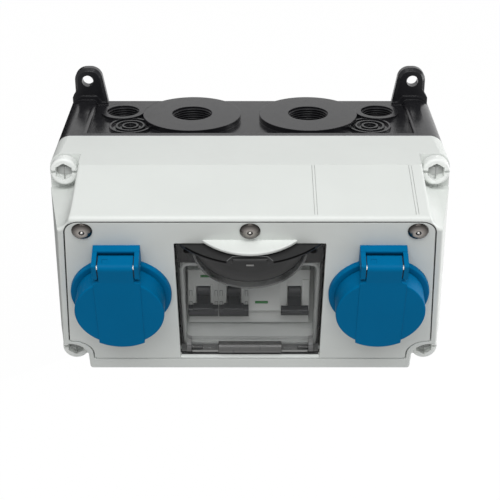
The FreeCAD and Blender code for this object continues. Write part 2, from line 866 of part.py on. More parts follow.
def is_visor_edge(edge):
    """Round upper edge of the visor."""
    box = edge.BoundBox
    stands_out = box.ZMax > value("visor_reach / 2")
    return stands_out and near(box.YMin, "visor_high") and near(box.YMax, "visor_high")


def make_panel_seal():
    """Foam seal between the panel and its seat."""
    body = new_piece("panel_seal", on_slope=True)
    outline = panel_outline("-panel_seal_inset")
    inner = [
        ("notch_x - opening_notch", "opening_bottom"),
        ("notch_x - opening_notch", "notch_top + opening_notch"),
        ("panel_half_low - panel_seal_inset - panel_seal_width", "notch_top + opening_notch"),
        ("panel_half_top - panel_seal_inset - panel_seal_width",
         "panel_top - panel_seal_inset - panel_seal_width"),
    ]
    inner += [(f"-({x})", s) for x, s in inner[::-1]]
    pad(body, "XY_Plane", [outline, inner], "-seat_depth", "-panel_thick")


def make_panel_screws():
    """Three domed steel screws."""
    body = new_piece("panel_screws", on_slope=True)
    places = panel_screw_places()
    pad(body, "XY_Plane", [circle(x, s, "panel_screw_head_r") for x, s in places], "0", "panel_screw_head")
    fillet(body, "panel_screw_dome", lambda edge: near(edge.CenterOfMass.z, "panel_screw_head"))
    pocket(body, "XY_Plane", [circle(x, s, "panel_screw_recess_r") for x, s in places],
           "panel_screw_head - panel_screw_recess", "panel_screw_head")
    shanks = [circle(x, s, "panel_screw_r") for x, s in places]
    pad(body, "XY_Plane", shanks, "-seat_depth - ledge - overrun", "0")


# Window and its hinge

def both_ways(near_x, far_x):
    """A stretch of X on the right and the same one on the left, each from its lower end."""
    return (near_x, far_x), (f"-({far_x})", f"-({near_x})")


def make_window():
    """Smoked window with a finger cup under the visor and a hinge barrel along its lower edge."""
    body = new_piece("window", on_slope=True)
    back = "window_front - window_thick"
    plate = rectangle("-window_half", "window_half", "window_low", "window_high", "window_round")
    pad(body, "XY_Plane", [plate], back, "window_front")
    rib_half = "window_half - window_rib_inset"
    rib = [
        rectangle(f"-({rib_half})", rib_half, "window_rib_low", "cup_s", "window_rib_round + window_rib"),
        rectangle(f"window_rib - ({rib_half})", f"{rib_half} - window_rib", "window_rib_low + window_rib",
                  "cup_s - window_rib", "window_rib_round"),
    ]
    pad(body, "XY_Plane", rib, "window_rib_back", back)
    above = rectangle("-window_half", "window_half", "window_rib_high", "window_high")
    pocket(body, "XY_Plane", [above], "window_rib_back", back)
    pocket(body, "XY_Plane", [circle("0", "cup_s", "cup_r - cup_wall")], back, "window_front")
    cup = [circle("0", "cup_s", "cup_r"), circle("0", "cup_s", "cup_r - cup_wall")]
    pad(body, "XY_Plane", [*cup], "cup_back", "window_front")
    over = rectangle("-beyond", "beyond", "window_high", "beyond")
    pocket(body, "XY_Plane", [over], "cup_back", "window_front")
    holes = [circle(x, "window_hole_s", "window_hole_r") for x in mirrored("window_hole_x")]
    pocket(body, "XY_Plane", holes, back, "window_front")
    bar_end = "ear_near - hinge_gap"
    for span in both_ways(bar_end, "ear_near + ear_width + hinge_gap"):
        room = rectangle(*span, "window_low - overrun", "ear_notch")
        pocket(body, "XY_Plane", [room], back, "window_front")
    pad(body, "YZ_Plane", [circle("hinge_s", "hinge_n", "barrel_r")], "-barrel_half", "barrel_half")
    pad(body, "YZ_Plane", [circle("hinge_s", "hinge_n", "side_bar_r")], f"-({bar_end})", bar_end)
    bore = circle("hinge_s", "hinge_n", "hinge_pin_r + pin_clearance")
    for span in both_ways("hinge_pin_near - hinge_gap", bar_end):
        pocket(body, "YZ_Plane", [bore], *span)


def make_window_grip():
    """Dark insert of the window: floor of the finger cup and a half-round pull with a notch."""
    body = new_piece("window_grip", on_slope=True)
    pad(body, "XZ_Plane", [half_moon("grip_chord", "grip_reach", "-window_front")], "-grip_high", "-grip_low")
    floor_top = "cup_back + cup_floor"
    pad(body, "XZ_Plane", [rectangle("-grip_half", "grip_half", floor_top, "0")], "-grip_high", "-grip_low")
    notch = [
        ("-grip_notch_half", "grip_notch_start"), ("grip_notch_half", "grip_notch_start"),
        ("grip_notch_half + grip_notch_flare", "beyond"), ("-grip_notch_half - grip_notch_flare", "beyond"),
    ]
    pocket(body, "XZ_Plane", [notch], "-grip_high", "-grip_low")
    pad(body, "XY_Plane", [circle("0", "cup_s", "cup_r - cup_wall - tube_fit")], "cup_back", floor_top)
    over = rectangle("-beyond", "beyond", "grip_high", "beyond")
    pocket(body, "XY_Plane", [over], "cup_back", floor_top)
    mark = rectangle("-grip_mark_half", "grip_mark_half", "grip_mark_s", "grip_mark_s + grip_mark_high")
    pad(body, "XY_Plane", [mark], floor_top, f"{floor_top} + grip_mark_rise")


def make_window_pin():
    """Short pin at each end of the window's hinge."""
    body = new_piece("window_hinge_pin", on_slope=True)
    for span in both_ways("hinge_pin_near", "ear_near + ear_width"):
        pad(body, "YZ_Plane", [circle("hinge_s", "hinge_n", "hinge_pin_r")], *span)


def make_window_ears():
    """Two dark ears on the floor of the inner cover, which hold the window's pins."""
    body = new_piece("window_hinge_ears")
    floor_run = "(tray_step_depth - tray_back - tray_floor) / (tray_sill - tray_step)"
    ear = [
        (f"-tray_back - tray_floor - (tray_sill - ear_top) * {floor_run}", "ear_top"),
        ("-tray_step_depth", "tray_step"), ("-ear_under", "ear_low"),
        ("-ear_front", "ear_low", "ear_round"), ("-ear_front", "ear_top", "ear_round"),
    ]
    pin = circle(*from_slope("hinge_s", "hinge_n"), "hinge_pin_r")
    for span in both_ways("ear_near", "ear_near + ear_width"):
        pad(body, "YZ_Plane", [ear], *span)
        pocket(body, "YZ_Plane", [pin], *span)


def make_device_tray():
    """Grey inner cover: funnel behind the window, on feet that stand on the shoulders of the devices."""
    body = new_piece("device_tray")
    block = rectangle("-tray_half", "tray_half", "tray_bottom", "tray_top")
    pad(body, "XZ_Plane", [block], "tray_back", "beyond")
    pocket(body, FRONT, [centred("beyond", "beyond")], "-tray_rim", "beyond")
    floor = "tray_back + tray_floor"
    hollow = [
        (f"-({floor})", "tray_top - tray_wall"), ("-beyond", "tray_top - tray_wall"), ("-beyond", "-beyond"),
        ("-tray_step_depth", "-beyond"), ("-tray_step_depth", "tray_step"), (f"-({floor})", "tray_sill"),
    ]
    pocket(body, "YZ_Plane", [hollow], "tray_wall - tray_half", "tray_half - tray_wall")
    under = [
        ("-tray_back", "tray_sill - tray_wall"), ("-tray_step_depth + tray_wall", "tray_step - tray_wall"),
        ("-tray_step_depth + tray_wall", "-beyond"), ("-tray_back", "-beyond"),
    ]
    pocket(body, "YZ_Plane", [under], "-tray_half", "tray_half")
    modules = sum(count for _, count in DEVICES.values())
    window = rectangle("modules_left - tray_gap", f"modules_left + {modules} * module + tray_gap",
                       "rail_z - nose_half - tray_gap", "rail_z + nose_half + tray_gap")
    pocket(body, "XZ_Plane", [window], "tray_back", floor)
    foot_low = "tray_top - tray_foot_high"
    feet = [rectangle(f"{x} - tray_foot_half", f"{x} + tray_foot_half", foot_low, "tray_top")
            for x in mirrored("tray_foot_x")]
    pad(body, "XZ_Plane", feet, "shoulder_depth", "tray_back")


# Devices

DEVICES = {"breaker_1": (0, 1), "breaker_2": (1, 1), "residual_current_device": (2, 2)}
PIVOT_Z = "rail_z + pivot_drop"


def toggle_x(name):
    """Middle of the last module of a device, where its toggle is."""
    first, count = DEVICES[name]
    return f"modules_left + {first + count - 1} * module + module / 2"


def make_device(name):
    """Closed body of one device, with a nose, a raised block and the slot of its toggle."""
    first, count = DEVICES[name]
    body = new_piece(f"{name}_body")
    heights = [("rail_depth + rail_height", "device_half"), ("shoulder_depth", "device_half"),
               ("shoulder_depth", "nose_half"), ("nose_depth", "nose_half")]
    lower = [(f"-({depth})", f"rail_z - {half}") for depth, half in heights]
    upper = [(f"-({depth})", f"rail_z + {half}") for depth, half in heights[::-1]]
    block = [("-nose_depth", "rail_z + block_low"), ("-block_depth", "rail_z + block_low"),
             ("-block_depth", "rail_z + block_high"), ("-nose_depth", "rail_z + block_high")]
    left = f"modules_left + {first} * module"
    pad(body, "YZ_Plane", [lower + block + upper], left, f"{left} + {count} * module - module_gap")
    x = toggle_x(name)
    slot = rectangle(f"{x} - slot_half", f"{x} + slot_half", "rail_z + slot_low", "rail_z + slot_high")
    pocket(body, "XZ_Plane", [slot], "slot_depth", "block_depth")
    bore = circle("-pivot_depth", PIVOT_Z, "toggle_pin_r")
    pocket(body, "YZ_Plane", [bore], f"{x} - toggle_pin_half", f"{x} + toggle_pin_half")
    if count > 1:
        button = circle("button_x", "rail_z + button_rise", "button_bore_r")
        pocket(body, "XZ_Plane", [button], "button_bore_depth", "block_depth")


def make_toggle(name):
    """Dark toggle: drum on its pin, arm and finger bar, drawn about its pivot in the off position."""
    body = new_piece(f"{name}_toggle")
    body.Placement = Placement(Vector(), Rotation(Vector(1, 0, 0), 1))
    bind(body, "Placement.Base.x", toggle_x(name))
    bind(body, "Placement.Base.y", "-pivot_depth")
    bind(body, "Placement.Base.z", PIVOT_Z)
    bind(body, "Placement.Rotation.Angle", "toggle_off")
    kind = "bar" if DEVICES[name][1] == 1 else "wide_bar"
    bar = rectangle("-bar_far", "-bar_near", f"-{kind}_half", f"{kind}_half", "bar_round")
    pad(body, "YZ_Plane", [bar], f"-{kind}_side", f"{kind}_side")
    arm = rectangle("-bar_near - bar_round", "0", "-arm_half", "arm_half")
    pad(body, "YZ_Plane", [arm], "-drum_half", "drum_half")
    pad(body, "YZ_Plane", [circle("0", "0", "drum_r")], "-drum_half", "drum_half")
    bore = circle("0", "0", "toggle_pin_r + pin_clearance")
    pocket(body, "YZ_Plane", [bore], "-drum_half", "drum_half")


def make_toggle_pins():
    """Pivot pins of the toggles."""
    body = new_piece("toggle_pins")
    for name in DEVICES:
        x = toggle_x(name)
        pin = circle("-pivot_depth", PIVOT_Z, "toggle_pin_r")
        pad(body, "YZ_Plane", [pin], f"{x} - toggle_pin_half", f"{x} + toggle_pin_half")


def make_test_button():
    """Test button of the residual-current device."""
    body = new_piece("test_button")
    button = circle("button_x", "rail_z + button_rise", "button_r")
    pad(body, "XZ_Plane", [button], "button_back", "button_front")


def make_rail():
    """Top-hat rail that carries the devices, and its two screws."""
    body = new_piece("device_rail")
    front = "rail_depth + rail_height"
    seat = "rail_depth + rail_sheet"
    lower = [
        ("rail_depth", "rail_hat_half"), (f"{front} - rail_sheet", "rail_hat_half"),
        (f"{front} - rail_sheet", "rail_half"), (front, "rail_half"),
        (front, "rail_hat_half - rail_sheet"), (seat, "rail_hat_half - rail_sheet"),
    ]
    section = [(f"-({depth})", f"rail_z - ({half})") for depth, half in lower]
    section += [(f"-({depth})", f"rail_z + {half}") for depth, half in lower[::-1]]
    pad(body, "YZ_Plane", [section], "-rail_length / 2", "rail_length / 2")
    places = [(x, "rail_z") for x in mirrored("post_x")]
    holes = [circle(*place, "rail_screw_r + screw_clearance") for place in places]
    pocket(body, "XZ_Plane", holes, "rail_depth", seat)
    screws = new_piece("rail_screws")
    heads = [circle(*place, "rail_screw_head_r") for place in places]
    pad(screws, "XZ_Plane", heads, seat, f"{seat} + rail_screw_head")
    shanks = [circle(*place, "rail_screw_r") for place in places]
    pad(screws, "XZ_Plane", shanks, f"{seat} - rail_screw_length", seat)


def make_supply_terminals():
    """Terminal block for the incoming cable, on the back of the housing."""
    body = new_piece("supply_terminals")
    block = rectangle("-terminal_half", "terminal_half", "terminal_low", "terminal_high")
    pad(body, "XZ_Plane", [block], "wall", "terminal_depth")
    mid = "(terminal_low + terminal_high) / 2"
    places = [f"{step} * terminal_pitch" for step in centred_steps(TERMINALS)]
    screws = [circle(x, mid, "terminal_screw_r") for x in places]
    pocket(body, "XZ_Plane", screws, "terminal_wire_depth", "terminal_depth")
    wires = [circle(x, "-terminal_wire_depth", "terminal_wire_r") for x in places]
    pocket(body, "XY_Plane", wires, "terminal_low", "terminal_high")


# Sockets and their lids

def make_socket(side):
    """Blue socket: collar, tube through the panel, hinge bracket and what it holds inside."""
    x = SIDES[side]
    body = new_piece(f"{side}_socket_body", on_slope=True)
    pad(body, "XY_Plane", [circle(x, "socket_s", "collar_r")], "0", "collar_rise")
    fillet(body, "collar_round", lambda edge: near(edge.CenterOfMass.z, "collar_rise"))
    bar = rectangle(f"{x} - bracket_half", f"{x} + bracket_half", "bracket_low", "bracket_high")
    pad(body, "XY_Plane", [bar], "0", "bracket_bar")
    wall = rectangle(f"{x} - bracket_half", f"{x} + bracket_half", "bracket_wall_low", "bracket_high")
    pad(body, "XY_Plane", [wall], "bracket_bar", "bracket_wall")
    arm = [
        ("bracket_low", "0"), ("bracket_low", "bracket_reach", "bracket_low_round"),
        ("bracket_front_high", "bracket_reach", "bracket_high_round"), ("bracket_high", "0"),
    ]
    pad(body, "YZ_Plane", [arm], f"{x} - bracket_half", f"{x} - bracket_half + bracket_arm")
    pad(body, "YZ_Plane", [arm], f"{x} + bracket_half - bracket_arm", f"{x} + bracket_half")
    pad(body, "XY_Plane", [circle(x, "socket_s", "tube_r")], "tube_back", "tube_front")
    pocket(body, "XY_Plane", [circle(x, "socket_s", "well_r")], "tube_back", "tube_front")
    pin = circle("lid_pin_s", "lid_pin_n", "lid_pin_r")
    pocket(body, "YZ_Plane", [pin], f"{x} - bracket_half", f"{x} + bracket_half")

    insert = new_piece(f"{side}_socket_insert", on_slope=True)
    pad(insert, "XY_Plane", [circle(x, "socket_s", "tube_r")], "insert_back", "tube_back")
    pad(insert, "XY_Plane", [circle(x, "socket_s", "well_r - tube_fit")], "tube_back", "well_floor")
    centres = [(f"{x} + {sign} * contact_pitch / 2", "socket_s") for sign in (-1, 1)]
    pocket(insert, "XY_Plane", [circle(*c, "contact_r") for c in centres], "contact_back", "well_floor")

    contacts = new_piece(f"{side}_socket_contacts", on_slope=True)
    sleeves = [circle(*c, radius) for c in centres for radius in ("contact_r", "contact_bore_r")]
    pad(contacts, "XY_Plane", sleeves, "contact_back", "contact_front")

    clips = new_piece(f"{side}_earth_clips", on_slope=True)
    for sign in (1, -1):
        span = [f"socket_s + {sign} * clip_near", f"socket_s + {sign} * (clip_near + clip_thick)"]
        strip = rectangle(f"{x} - clip_half", f"{x} + clip_half", *(span if sign > 0 else span[::-1]))
        pad(clips, "XY_Plane", [strip], "well_floor", "clip_front")

    ring = new_piece(f"{side}_socket_ring", on_slope=True)
    hoop = [circle(x, "socket_s", "ring_r"), circle(x, "socket_s", "tube_r + tube_fit")]
    pad(ring, "XY_Plane", hoop, "-panel_thick - ring_thick", "-panel_thick")


def lid_slice(drop, limit):
    """Side view of what lies between a plane behind the lid's leaning front and a height over the panel."""
    ends = ("socket_s - strap_r - overrun", "socket_s + strap_r + overrun")
    plane = [(s, f"strap_front - ({drop}) + (strap_high - ({s})) * tan(lid_tilt)") for s in ends]
    return plane + [(s, limit) for s in ends[::-1]]


def make_lid(side):
    """Blue sprung lid: leaning cap, central strap with a finger tab, knuckle, gasket, pin and spring."""
    x = SIDES[side]
    body = new_piece(f"{side}_lid", on_slope=True)
    left = f"{x} - strap_r - overrun"
    right = f"{x} + strap_r + overrun"
    strap_sides = (f"{x} - strap_half", f"{x} + strap_half")
    low = "socket_s - strap_r - overrun"
    high = "socket_s + strap_r + overrun"
    pad(body, "XY_Plane", [circle(x, "socket_s", "strap_r")], "lid_inner", "lid_top")
    beside = [rectangle(left, strap_sides[0], low, high), rectangle(strap_sides[1], right, low, high)]
    pocket(body, "XY_Plane", beside, "lid_inner", "lid_top")
    pocket(body, "XY_Plane", [rectangle(left, right, "strap_high", high)], "lid_inner", "lid_top")
    pad(body, "XY_Plane", [circle(x, "socket_s", "lid_r")], "lid_inner", "lid_top")
    pocket(body, "YZ_Plane", [lid_slice("lid_thick", "lid_back")], left, right)
    wall = [circle(x, "socket_s", "lid_r"), circle(x, "socket_s", "lid_r - lid_wall")]
    pad(body, "XY_Plane", wall, "lid_back", "lid_top")
    pocket(body, "YZ_Plane", [lid_slice("0", "lid_top + overrun")], *strap_sides)
    pocket(body, "YZ_Plane", [lid_slice("strap_rise", "lid_top + overrun")], left, strap_sides[0])
    pocket(body, "YZ_Plane", [lid_slice("strap_rise", "lid_top + overrun")], strap_sides[1], right)
    fillet(body, "lid_round", is_lid_rim)
    crown = "lid_pin_s + knuckle_r"
    knuckle = [
        ("knuckle_low", "lid_inner"), ("lid_pin_s - knuckle_r", "lid_pin_n"), ("lid_pin_s", "knuckle_back"),
        (crown, "knuckle_back", "knuckle_edge"), (crown, "strap_front", "knuckle_round"),
        ("knuckle_low", "strap_front + (strap_high - knuckle_low) * tan(lid_tilt)"),
    ]
    knuckle_sides = (f"{x} - knuckle_half", f"{x} + knuckle_half")
    pad(body, "YZ_Plane", [knuckle], *knuckle_sides)
    pad(body, "YZ_Plane", [circle("lid_pin_s", "lid_pin_n", "knuckle_r")], *knuckle_sides)
    pocket(body, "YZ_Plane", [circle("lid_pin_s", "lid_pin_n", "lid_pin_bore")], *knuckle_sides)
    room = circle("lid_pin_s", "lid_pin_n", "spring_room_r")
    pocket(body, "YZ_Plane", [room], f"{x} - spring_room_half", f"{x} + spring_room_half")
    mark = rectangle(f"{x} - knuckle_mark_x - knuckle_mark_half", f"{x} - knuckle_mark_x + knuckle_mark_half",
                     "knuckle_mark_n - knuckle_mark_half", "knuckle_mark_n + knuckle_mark_half")
    pocket(body, "XZ_Plane", [mark], f"-({crown})", f"knuckle_mark_depth - ({crown})")

    gasket = new_piece(f"{side}_lid_gasket", on_slope=True)
    hoop = [circle(x, "socket_s", "lid_r - lid_wall"), circle(x, "socket_s", "gasket_inner_r")]
    pad(gasket, "XY_Plane", hoop, "gasket_low", "gasket_high")

    pin = new_piece(f"{side}_lid_pin", on_slope=True)
    bore = circle("lid_pin_s", "lid_pin_n", "lid_pin_r")
    pad(pin, "YZ_Plane", [bore], f"{x} - bracket_half", f"{x} + bracket_half")

    spring = new_piece(f"{side}_lid_spring", on_slope=True)
    core = [circle("lid_pin_s", "lid_pin_n", "spring_core_r"), bore]
    pad(spring, "YZ_Plane", core, f"{x} - spring_half", f"{x} + spring_half")
    turn = [circle("lid_pin_s", "lid_pin_n", "spring_r"), bore]
    for step in centred_steps(SPRING_TURNS):
        start = f"{x} + {step} * spring_pitch - spring_turn / 2"
        pad(spring, "YZ_Plane", turn, start, f"{start} + spring_turn")


def is_lid_rim(edge):
    """Front edge of the cap beside its strap, a slanting cut through the cap's cylinder."""
    slanting = edge.Curve.TypeId == "Part::GeomEllipse" and near(edge.Curve.MinorRadius, "lid_r")
    return slanting and abs(abs(middle(edge).x) - DIMS["socket_x"]) > DIMS["strap_half"]


# The whole product

make_rear_housing()
make_cover_seal()
make_front_cover()
make_cover_screws()
make_front_panel()
make_panel_seal()
make_panel_screws()
make_window()
make_window_grip()
make_window_pin()
make_window_ears()
make_device_tray()
for device in DEVICES:
    make_device(device)
    make_toggle(device)
make_toggle_pins()
make_test_button()
make_rail()
make_supply_terminals()
for hand in SIDES:
    make_socket(hand)
    make_lid(hand)
doc.recompute()

# Checks before anything is written
for item in doc.Objects:
    if "Invalid" in item.State or "Error" in item.State:
        raise RuntimeError(f"{item.Label} failed: {item.State}")
    if item.TypeId == "PartDesign::Pocket" and item.Shape.Volume > item.BaseFeature.Shape.Volume - LEAST_CUT:
        raise RuntimeError(f"{item.Label} cuts nothing")
os.makedirs("parts", exist_ok=True)
for piece in pieces:
    if piece.Shape.isNull() or not piece.Shape.isValid():
        raise RuntimeError(f"{piece.Label} has no valid shape")
    print(piece.Label, len(piece.Shape.Solids), round(piece.Shape.Volume))
    piece.Shape.exportStep(f"parts/{piece.Label}.step")
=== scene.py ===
"""Dresses the wall-mounted socket unit: finishes, fine detail, studio light and camera."""

import json
import math

import bmesh
import bpy
from mathutils import Matrix, Vector


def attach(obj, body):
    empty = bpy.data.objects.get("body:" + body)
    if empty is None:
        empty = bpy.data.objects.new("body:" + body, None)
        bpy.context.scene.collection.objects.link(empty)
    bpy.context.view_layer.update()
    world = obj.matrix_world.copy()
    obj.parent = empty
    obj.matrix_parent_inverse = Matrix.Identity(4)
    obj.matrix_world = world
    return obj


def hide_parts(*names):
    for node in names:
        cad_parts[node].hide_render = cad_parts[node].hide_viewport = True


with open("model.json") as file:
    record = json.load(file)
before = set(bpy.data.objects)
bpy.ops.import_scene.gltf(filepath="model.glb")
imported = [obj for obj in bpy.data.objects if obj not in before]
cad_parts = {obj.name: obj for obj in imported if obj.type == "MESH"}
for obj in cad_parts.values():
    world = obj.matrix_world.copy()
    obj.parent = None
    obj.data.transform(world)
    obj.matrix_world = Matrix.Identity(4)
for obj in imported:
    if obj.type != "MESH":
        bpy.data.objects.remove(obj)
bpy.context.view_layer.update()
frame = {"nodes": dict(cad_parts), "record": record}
nodes = frame["nodes"]

MM = 0.001
SIDES = {"left": -1, "right": 1}

# The sloping front: where its lower edge is, and how far it leans
LIP_DEPTH = 113.3 * MM
BOX_HEIGHT = 130 * MM
TILT = math.radians(20.4)
FRONT = Matrix.Translation((0, -LIP_DEPTH, -BOX_HEIGHT / 2)) @ Matrix.Rotation(math.pi / 2 + TILT, 4, "X")

# Places and sizes that several pieces share, in millimetres
CUP_S = 100.7  # middle of the window's finger cup, along the slope
CUP_BRIM = 31  # outer radius of the brim round the cup
BAY_HALF = 40.3  # half the width of the panel's opening for the devices
SOCKET_X = 71.2
SCREW_HEAD = 5.5  # radius of a panel screw's head
COVER_SCREWS = [(x, z) for x in (-103.9, 103.9) for z in (-56.3, 56.3)]
DEVICE_FACE = 112  # depth of the devices' raised blocks
BREAKERS = {"breaker_1": -26.85, "breaker_2": -9.35}
RESIDUAL_CURRENT_X = 25.65

# Attribute of a panel screw's points: how far out they are, as a share of the head's radius
SHARE = "share_of_radius"


# Materials

LIGHT_GREY = (0.665, 0.69, 0.667)
BLACK = (0.008, 0.008, 0.0095)
BLUE = (0.0, 0.128, 0.292)
# Most noise lies in this range
NOISE_RANGE = (0.3, 0.7)


def new_material(name):
    """Material with its node tree and its shader."""
    material = bpy.data.materials.new(name)
    material.use_nodes = True
    tree = material.node_tree
    return material, tree, tree.nodes["Principled BSDF"]


def coordinates(tree, space="Object"):
    """Where a point is in one of its object's spaces."""
    return tree.nodes.new("ShaderNodeTexCoord").outputs[space]


def axis_of(tree, vector, axis):
    """One axis of a vector."""
    axes = tree.nodes.new("ShaderNodeSeparateXYZ")
    tree.links.new(vector, axes.inputs["Vector"])
    return axes.outputs[axis]


def compute(tree, operation, *values):
    """Result of one step of arithmetic."""
    node = tree.nodes.new("ShaderNodeMath")
    node.operation = operation
    for value, socket in zip(values, node.inputs):
        tree.links.new(value, socket)
    return node.outputs[0]


def remap(tree, value, source=(0, 1), target=(0, 1)):
    """A number carried over from one range to another."""
    node = tree.nodes.new("ShaderNodeMapRange")
    for key, end in zip(("From Min", "From Max", "To Min", "To Max"), (*source, *target)):
        node.inputs[key].default_value = end
    tree.links.new(value, node.inputs["Value"])
    return node.outputs["Result"]


def noise(tree, size):
    """Noise in the object's own space, with features of about one size in metres."""
    texture = tree.nodes.new("ShaderNodeTexNoise")
    texture.inputs["Scale"].default_value = 1 / size
    texture.inputs["Detail"].default_value = 2.0
    tree.links.new(coordinates(tree), texture.inputs["Vector"])
    return texture.outputs["Fac"]


def tones(row, hue=(1, 1, 1)):
    """Stops for a row of positions and tones, all of one hue."""
    return [(position, [tone * channel for channel in hue]) for position, tone in row]


def paint(tree, factor, stops):
    """Colour a material along a ramp of stops, each a position and a colour."""
    ramp = tree.nodes.new("ShaderNodeValToRGB")
    elements = ramp.color_ramp.elements
    for element, (position, colour) in zip(elements, (stops[0], stops[-1])):
        element.position = position
        element.color = (*colour, 1)
    for position, colour in stops[1:-1]:
        elements.new(position).color = (*colour, 1)
    tree.links.new(factor, ramp.inputs["Fac"])
    tree.links.new(ramp.outputs["Color"], tree.nodes["Principled BSDF"].inputs["Base Color"])


def rough_normal(tree, shader, grain, strength, edge):
    """Fine moulded grain on the surface, and edges broken by a small radius."""
    bevel = tree.nodes.new("ShaderNodeBevel")
    bevel.samples = 6
    bevel.inputs["Radius"].default_value = edge
    bump = tree.nodes.new("ShaderNodeBump")
    bump.inputs["Strength"].default_value = strength
    bump.inputs["Distance"].default_value = grain
    tree.links.new(noise(tree, grain), bump.inputs["Height"])
    tree.links.new(bevel.outputs["Normal"], bump.inputs["Normal"])
    tree.links.new(bump.outputs["Normal"], shader.inputs["Normal"])


def surface(name, colour, variation, roughness, cloud, patch, grain, bump, edge):
    """Material whose tone and roughness wander a little, with a fine grain.

    Its colour is None where the caller paints it.
    """
    material, tree, shader = new_material(name)
    if colour:
        paint(tree, noise(tree, cloud), tones(zip(NOISE_RANGE, (1 - variation, 1 + variation)), colour))
    wander = remap(tree, noise(tree, patch), NOISE_RANGE, roughness)
    tree.links.new(wander, shader.inputs["Roughness"])
    rough_normal(tree, shader, grain, bump, edge)
    return material, shader


def plastic(name, colour, roughness, ior=1.46, gloss=0.5, bump=0.05, variation=0.03, edge=0.4 * MM):
    """Moulded plastic: an even tone with slight clouding, a fine grain and softened edges."""
    wander = 0.04
    material, shader = surface(
        name, colour, variation, roughness=(roughness - wander, roughness + wander),
        cloud=25 * MM, patch=4 * MM, grain=0.3 * MM, bump=bump, edge=edge)
    shader.inputs["IOR"].default_value = ior
    shader.inputs["Specular IOR Level"].default_value = gloss
    return material


def metal(name, colour, roughness):
    """Bright metal with a slightly uneven sheen."""
    material, shader = surface(
        name, colour, variation=0.05, roughness=(roughness * 0.7, roughness * 1.3),
        cloud=3 * MM, patch=0.6 * MM, grain=0.2 * MM, bump=0.03, edge=0.15 * MM)
    shader.inputs["Metallic"].default_value = 1.0
    return material


def smoked(name, colour, alpha):
    """Smoked clear plastic: dark and see-through, with a polished surface."""
    material, shader = surface(
        name, colour, variation=0.04, roughness=(0.06, 0.1),
        cloud=30 * MM, patch=6 * MM, grain=2 * MM, bump=0.01, edge=0.3 * MM)
    shader.inputs["Alpha"].default_value = alpha
    return material


def painted_sheen_metal(name):
    """Metal with a painted sheen: a painted highlight towards the middle of a screw head and painted shade at
    its rim.
    """
    material = metal(name, None, 0.2)
    tree = material.node_tree
    share = tree.nodes.new("ShaderNodeAttribute")
    share.attribute_name = SHARE
    painted_light_stops = tones(((0.26, 0.02), (0.3, 0.34), (0.45, 0.26), (0.7, 0.14), (0.88, 0.06)), (1, 0.93, 0.87))
    paint(tree, share.outputs["Fac"], [(0, (0.02, 0.019, 0.018)), *painted_light_stops, (1, (0.03, 0.027, 0.025))])
    return material


def cup_wall_painted_shade(name):
    """Smoked wall of the finger cup, with painted shade in two places that stands in for dark parts seen
    through it.
    """
    material, tree, shader = new_material(name)
    shader.inputs["Alpha"].default_value = 0.6
    shader.inputs["Roughness"].default_value = 0.2
    distance = compute(tree, "ABSOLUTE", axis_of(tree, coordinates(tree), "X"))
    painted_shade_stops = tones(((0.42, 0.15), (0.6, 0.04), (0.68, 0.02), (0.78, 0.13), (0.88, 0.17)))
    paint(tree, remap(tree, distance, (0, CUP_BRIM * MM)),
          [(0, (0.16, 0.165, 0.16)), *painted_shade_stops, (1, (0.1, 0.103, 0.1))])
    return material


def cup_floor_painted_light(name, centre, reach):
    """Dark smoked floor of the finger cup, with painted light that makes it paler towards its wall."""
    material = plastic(name, None, 0.35, ior=1.3)
    tree = material.node_tree
    distance = tree.nodes.new("ShaderNodeVectorMath")
    distance.operation = "DISTANCE"
    distance.inputs[1].default_value = centre
    tree.links.new(coordinates(tree), distance.inputs[0])
    painted_light_stops = tones(((0.5, 0.037), (0.74, 0.042), (0.85, 0.066), (0.905, 0.1), (0.96, 0.125)))
    paint(tree, remap(tree, distance.outputs["Value"], (0, reach)),
          [(0, (0.036, 0.0363, 0.0365)), *painted_light_stops, (1, (0.13, 0.131, 0.131))])
    return material


def painted_shade_plastic(name, shaded_tone, lit_tone):
    """Grey plastic with painted light and shade: lighter on its top face and darker below it."""
    material = plastic(name, None, 0.5, edge=0.2 * MM)
    tree = material.node_tree
    height = axis_of(tree, coordinates(tree, "Generated"), "Z")
    paint(tree, height, tones(((0.88, shaded_tone), (0.98, lit_tone))))
    return material


# Finishes of the record's material slots
MATERIALS = {
    "housing": plastic("black_housing", BLACK, 0.22, ior=1.33, bump=0.04),
    "cover": plastic("light_grey_cover", LIGHT_GREY, 0.45, variation=0.012),
    "cover_screw": plastic("grey_screw", (0.76, 0.78, 0.76), 0.42, edge=0.25 * MM),
    "panel": plastic("light_grey_panel", LIGHT_GREY, 0.45, gloss=0.35),
    "smoke": smoked("smoked_window", (0.03, 0.031, 0.031), 0.13),
    "grip": plastic("black_grip", (0.022, 0.022, 0.0225), 0.35, ior=1.3, edge=0.25 * MM),
    "tray": plastic("grey_tray", (0.55, 0.57, 0.555), 0.5),
    "device": plastic("pale_device", (0.72, 0.74, 0.72), 0.45, edge=0.25 * MM),
    "toggle": plastic("dark_toggle", (0.022, 0.024, 0.027), 0.4, edge=0.25 * MM),
    "button": plastic("grey_button", (0.3, 0.31, 0.31), 0.45),
    "socket": plastic("blue_socket", BLUE, 0.4, gloss=0.03, variation=0.02),
    "insert": plastic("pale_insert", (0.55, 0.56, 0.55), 0.5),
    "rubber": plastic("black_rubber", (0.018, 0.018, 0.018), 0.7, bump=0.1),
    "steel": metal("stainless_steel", (0.55, 0.53, 0.5), 0.25),
    "zinc_steel": metal("zinc_steel", (0.55, 0.55, 0.55), 0.35),
    "brass": metal("brass", (0.72, 0.5, 0.2), 0.25),
}
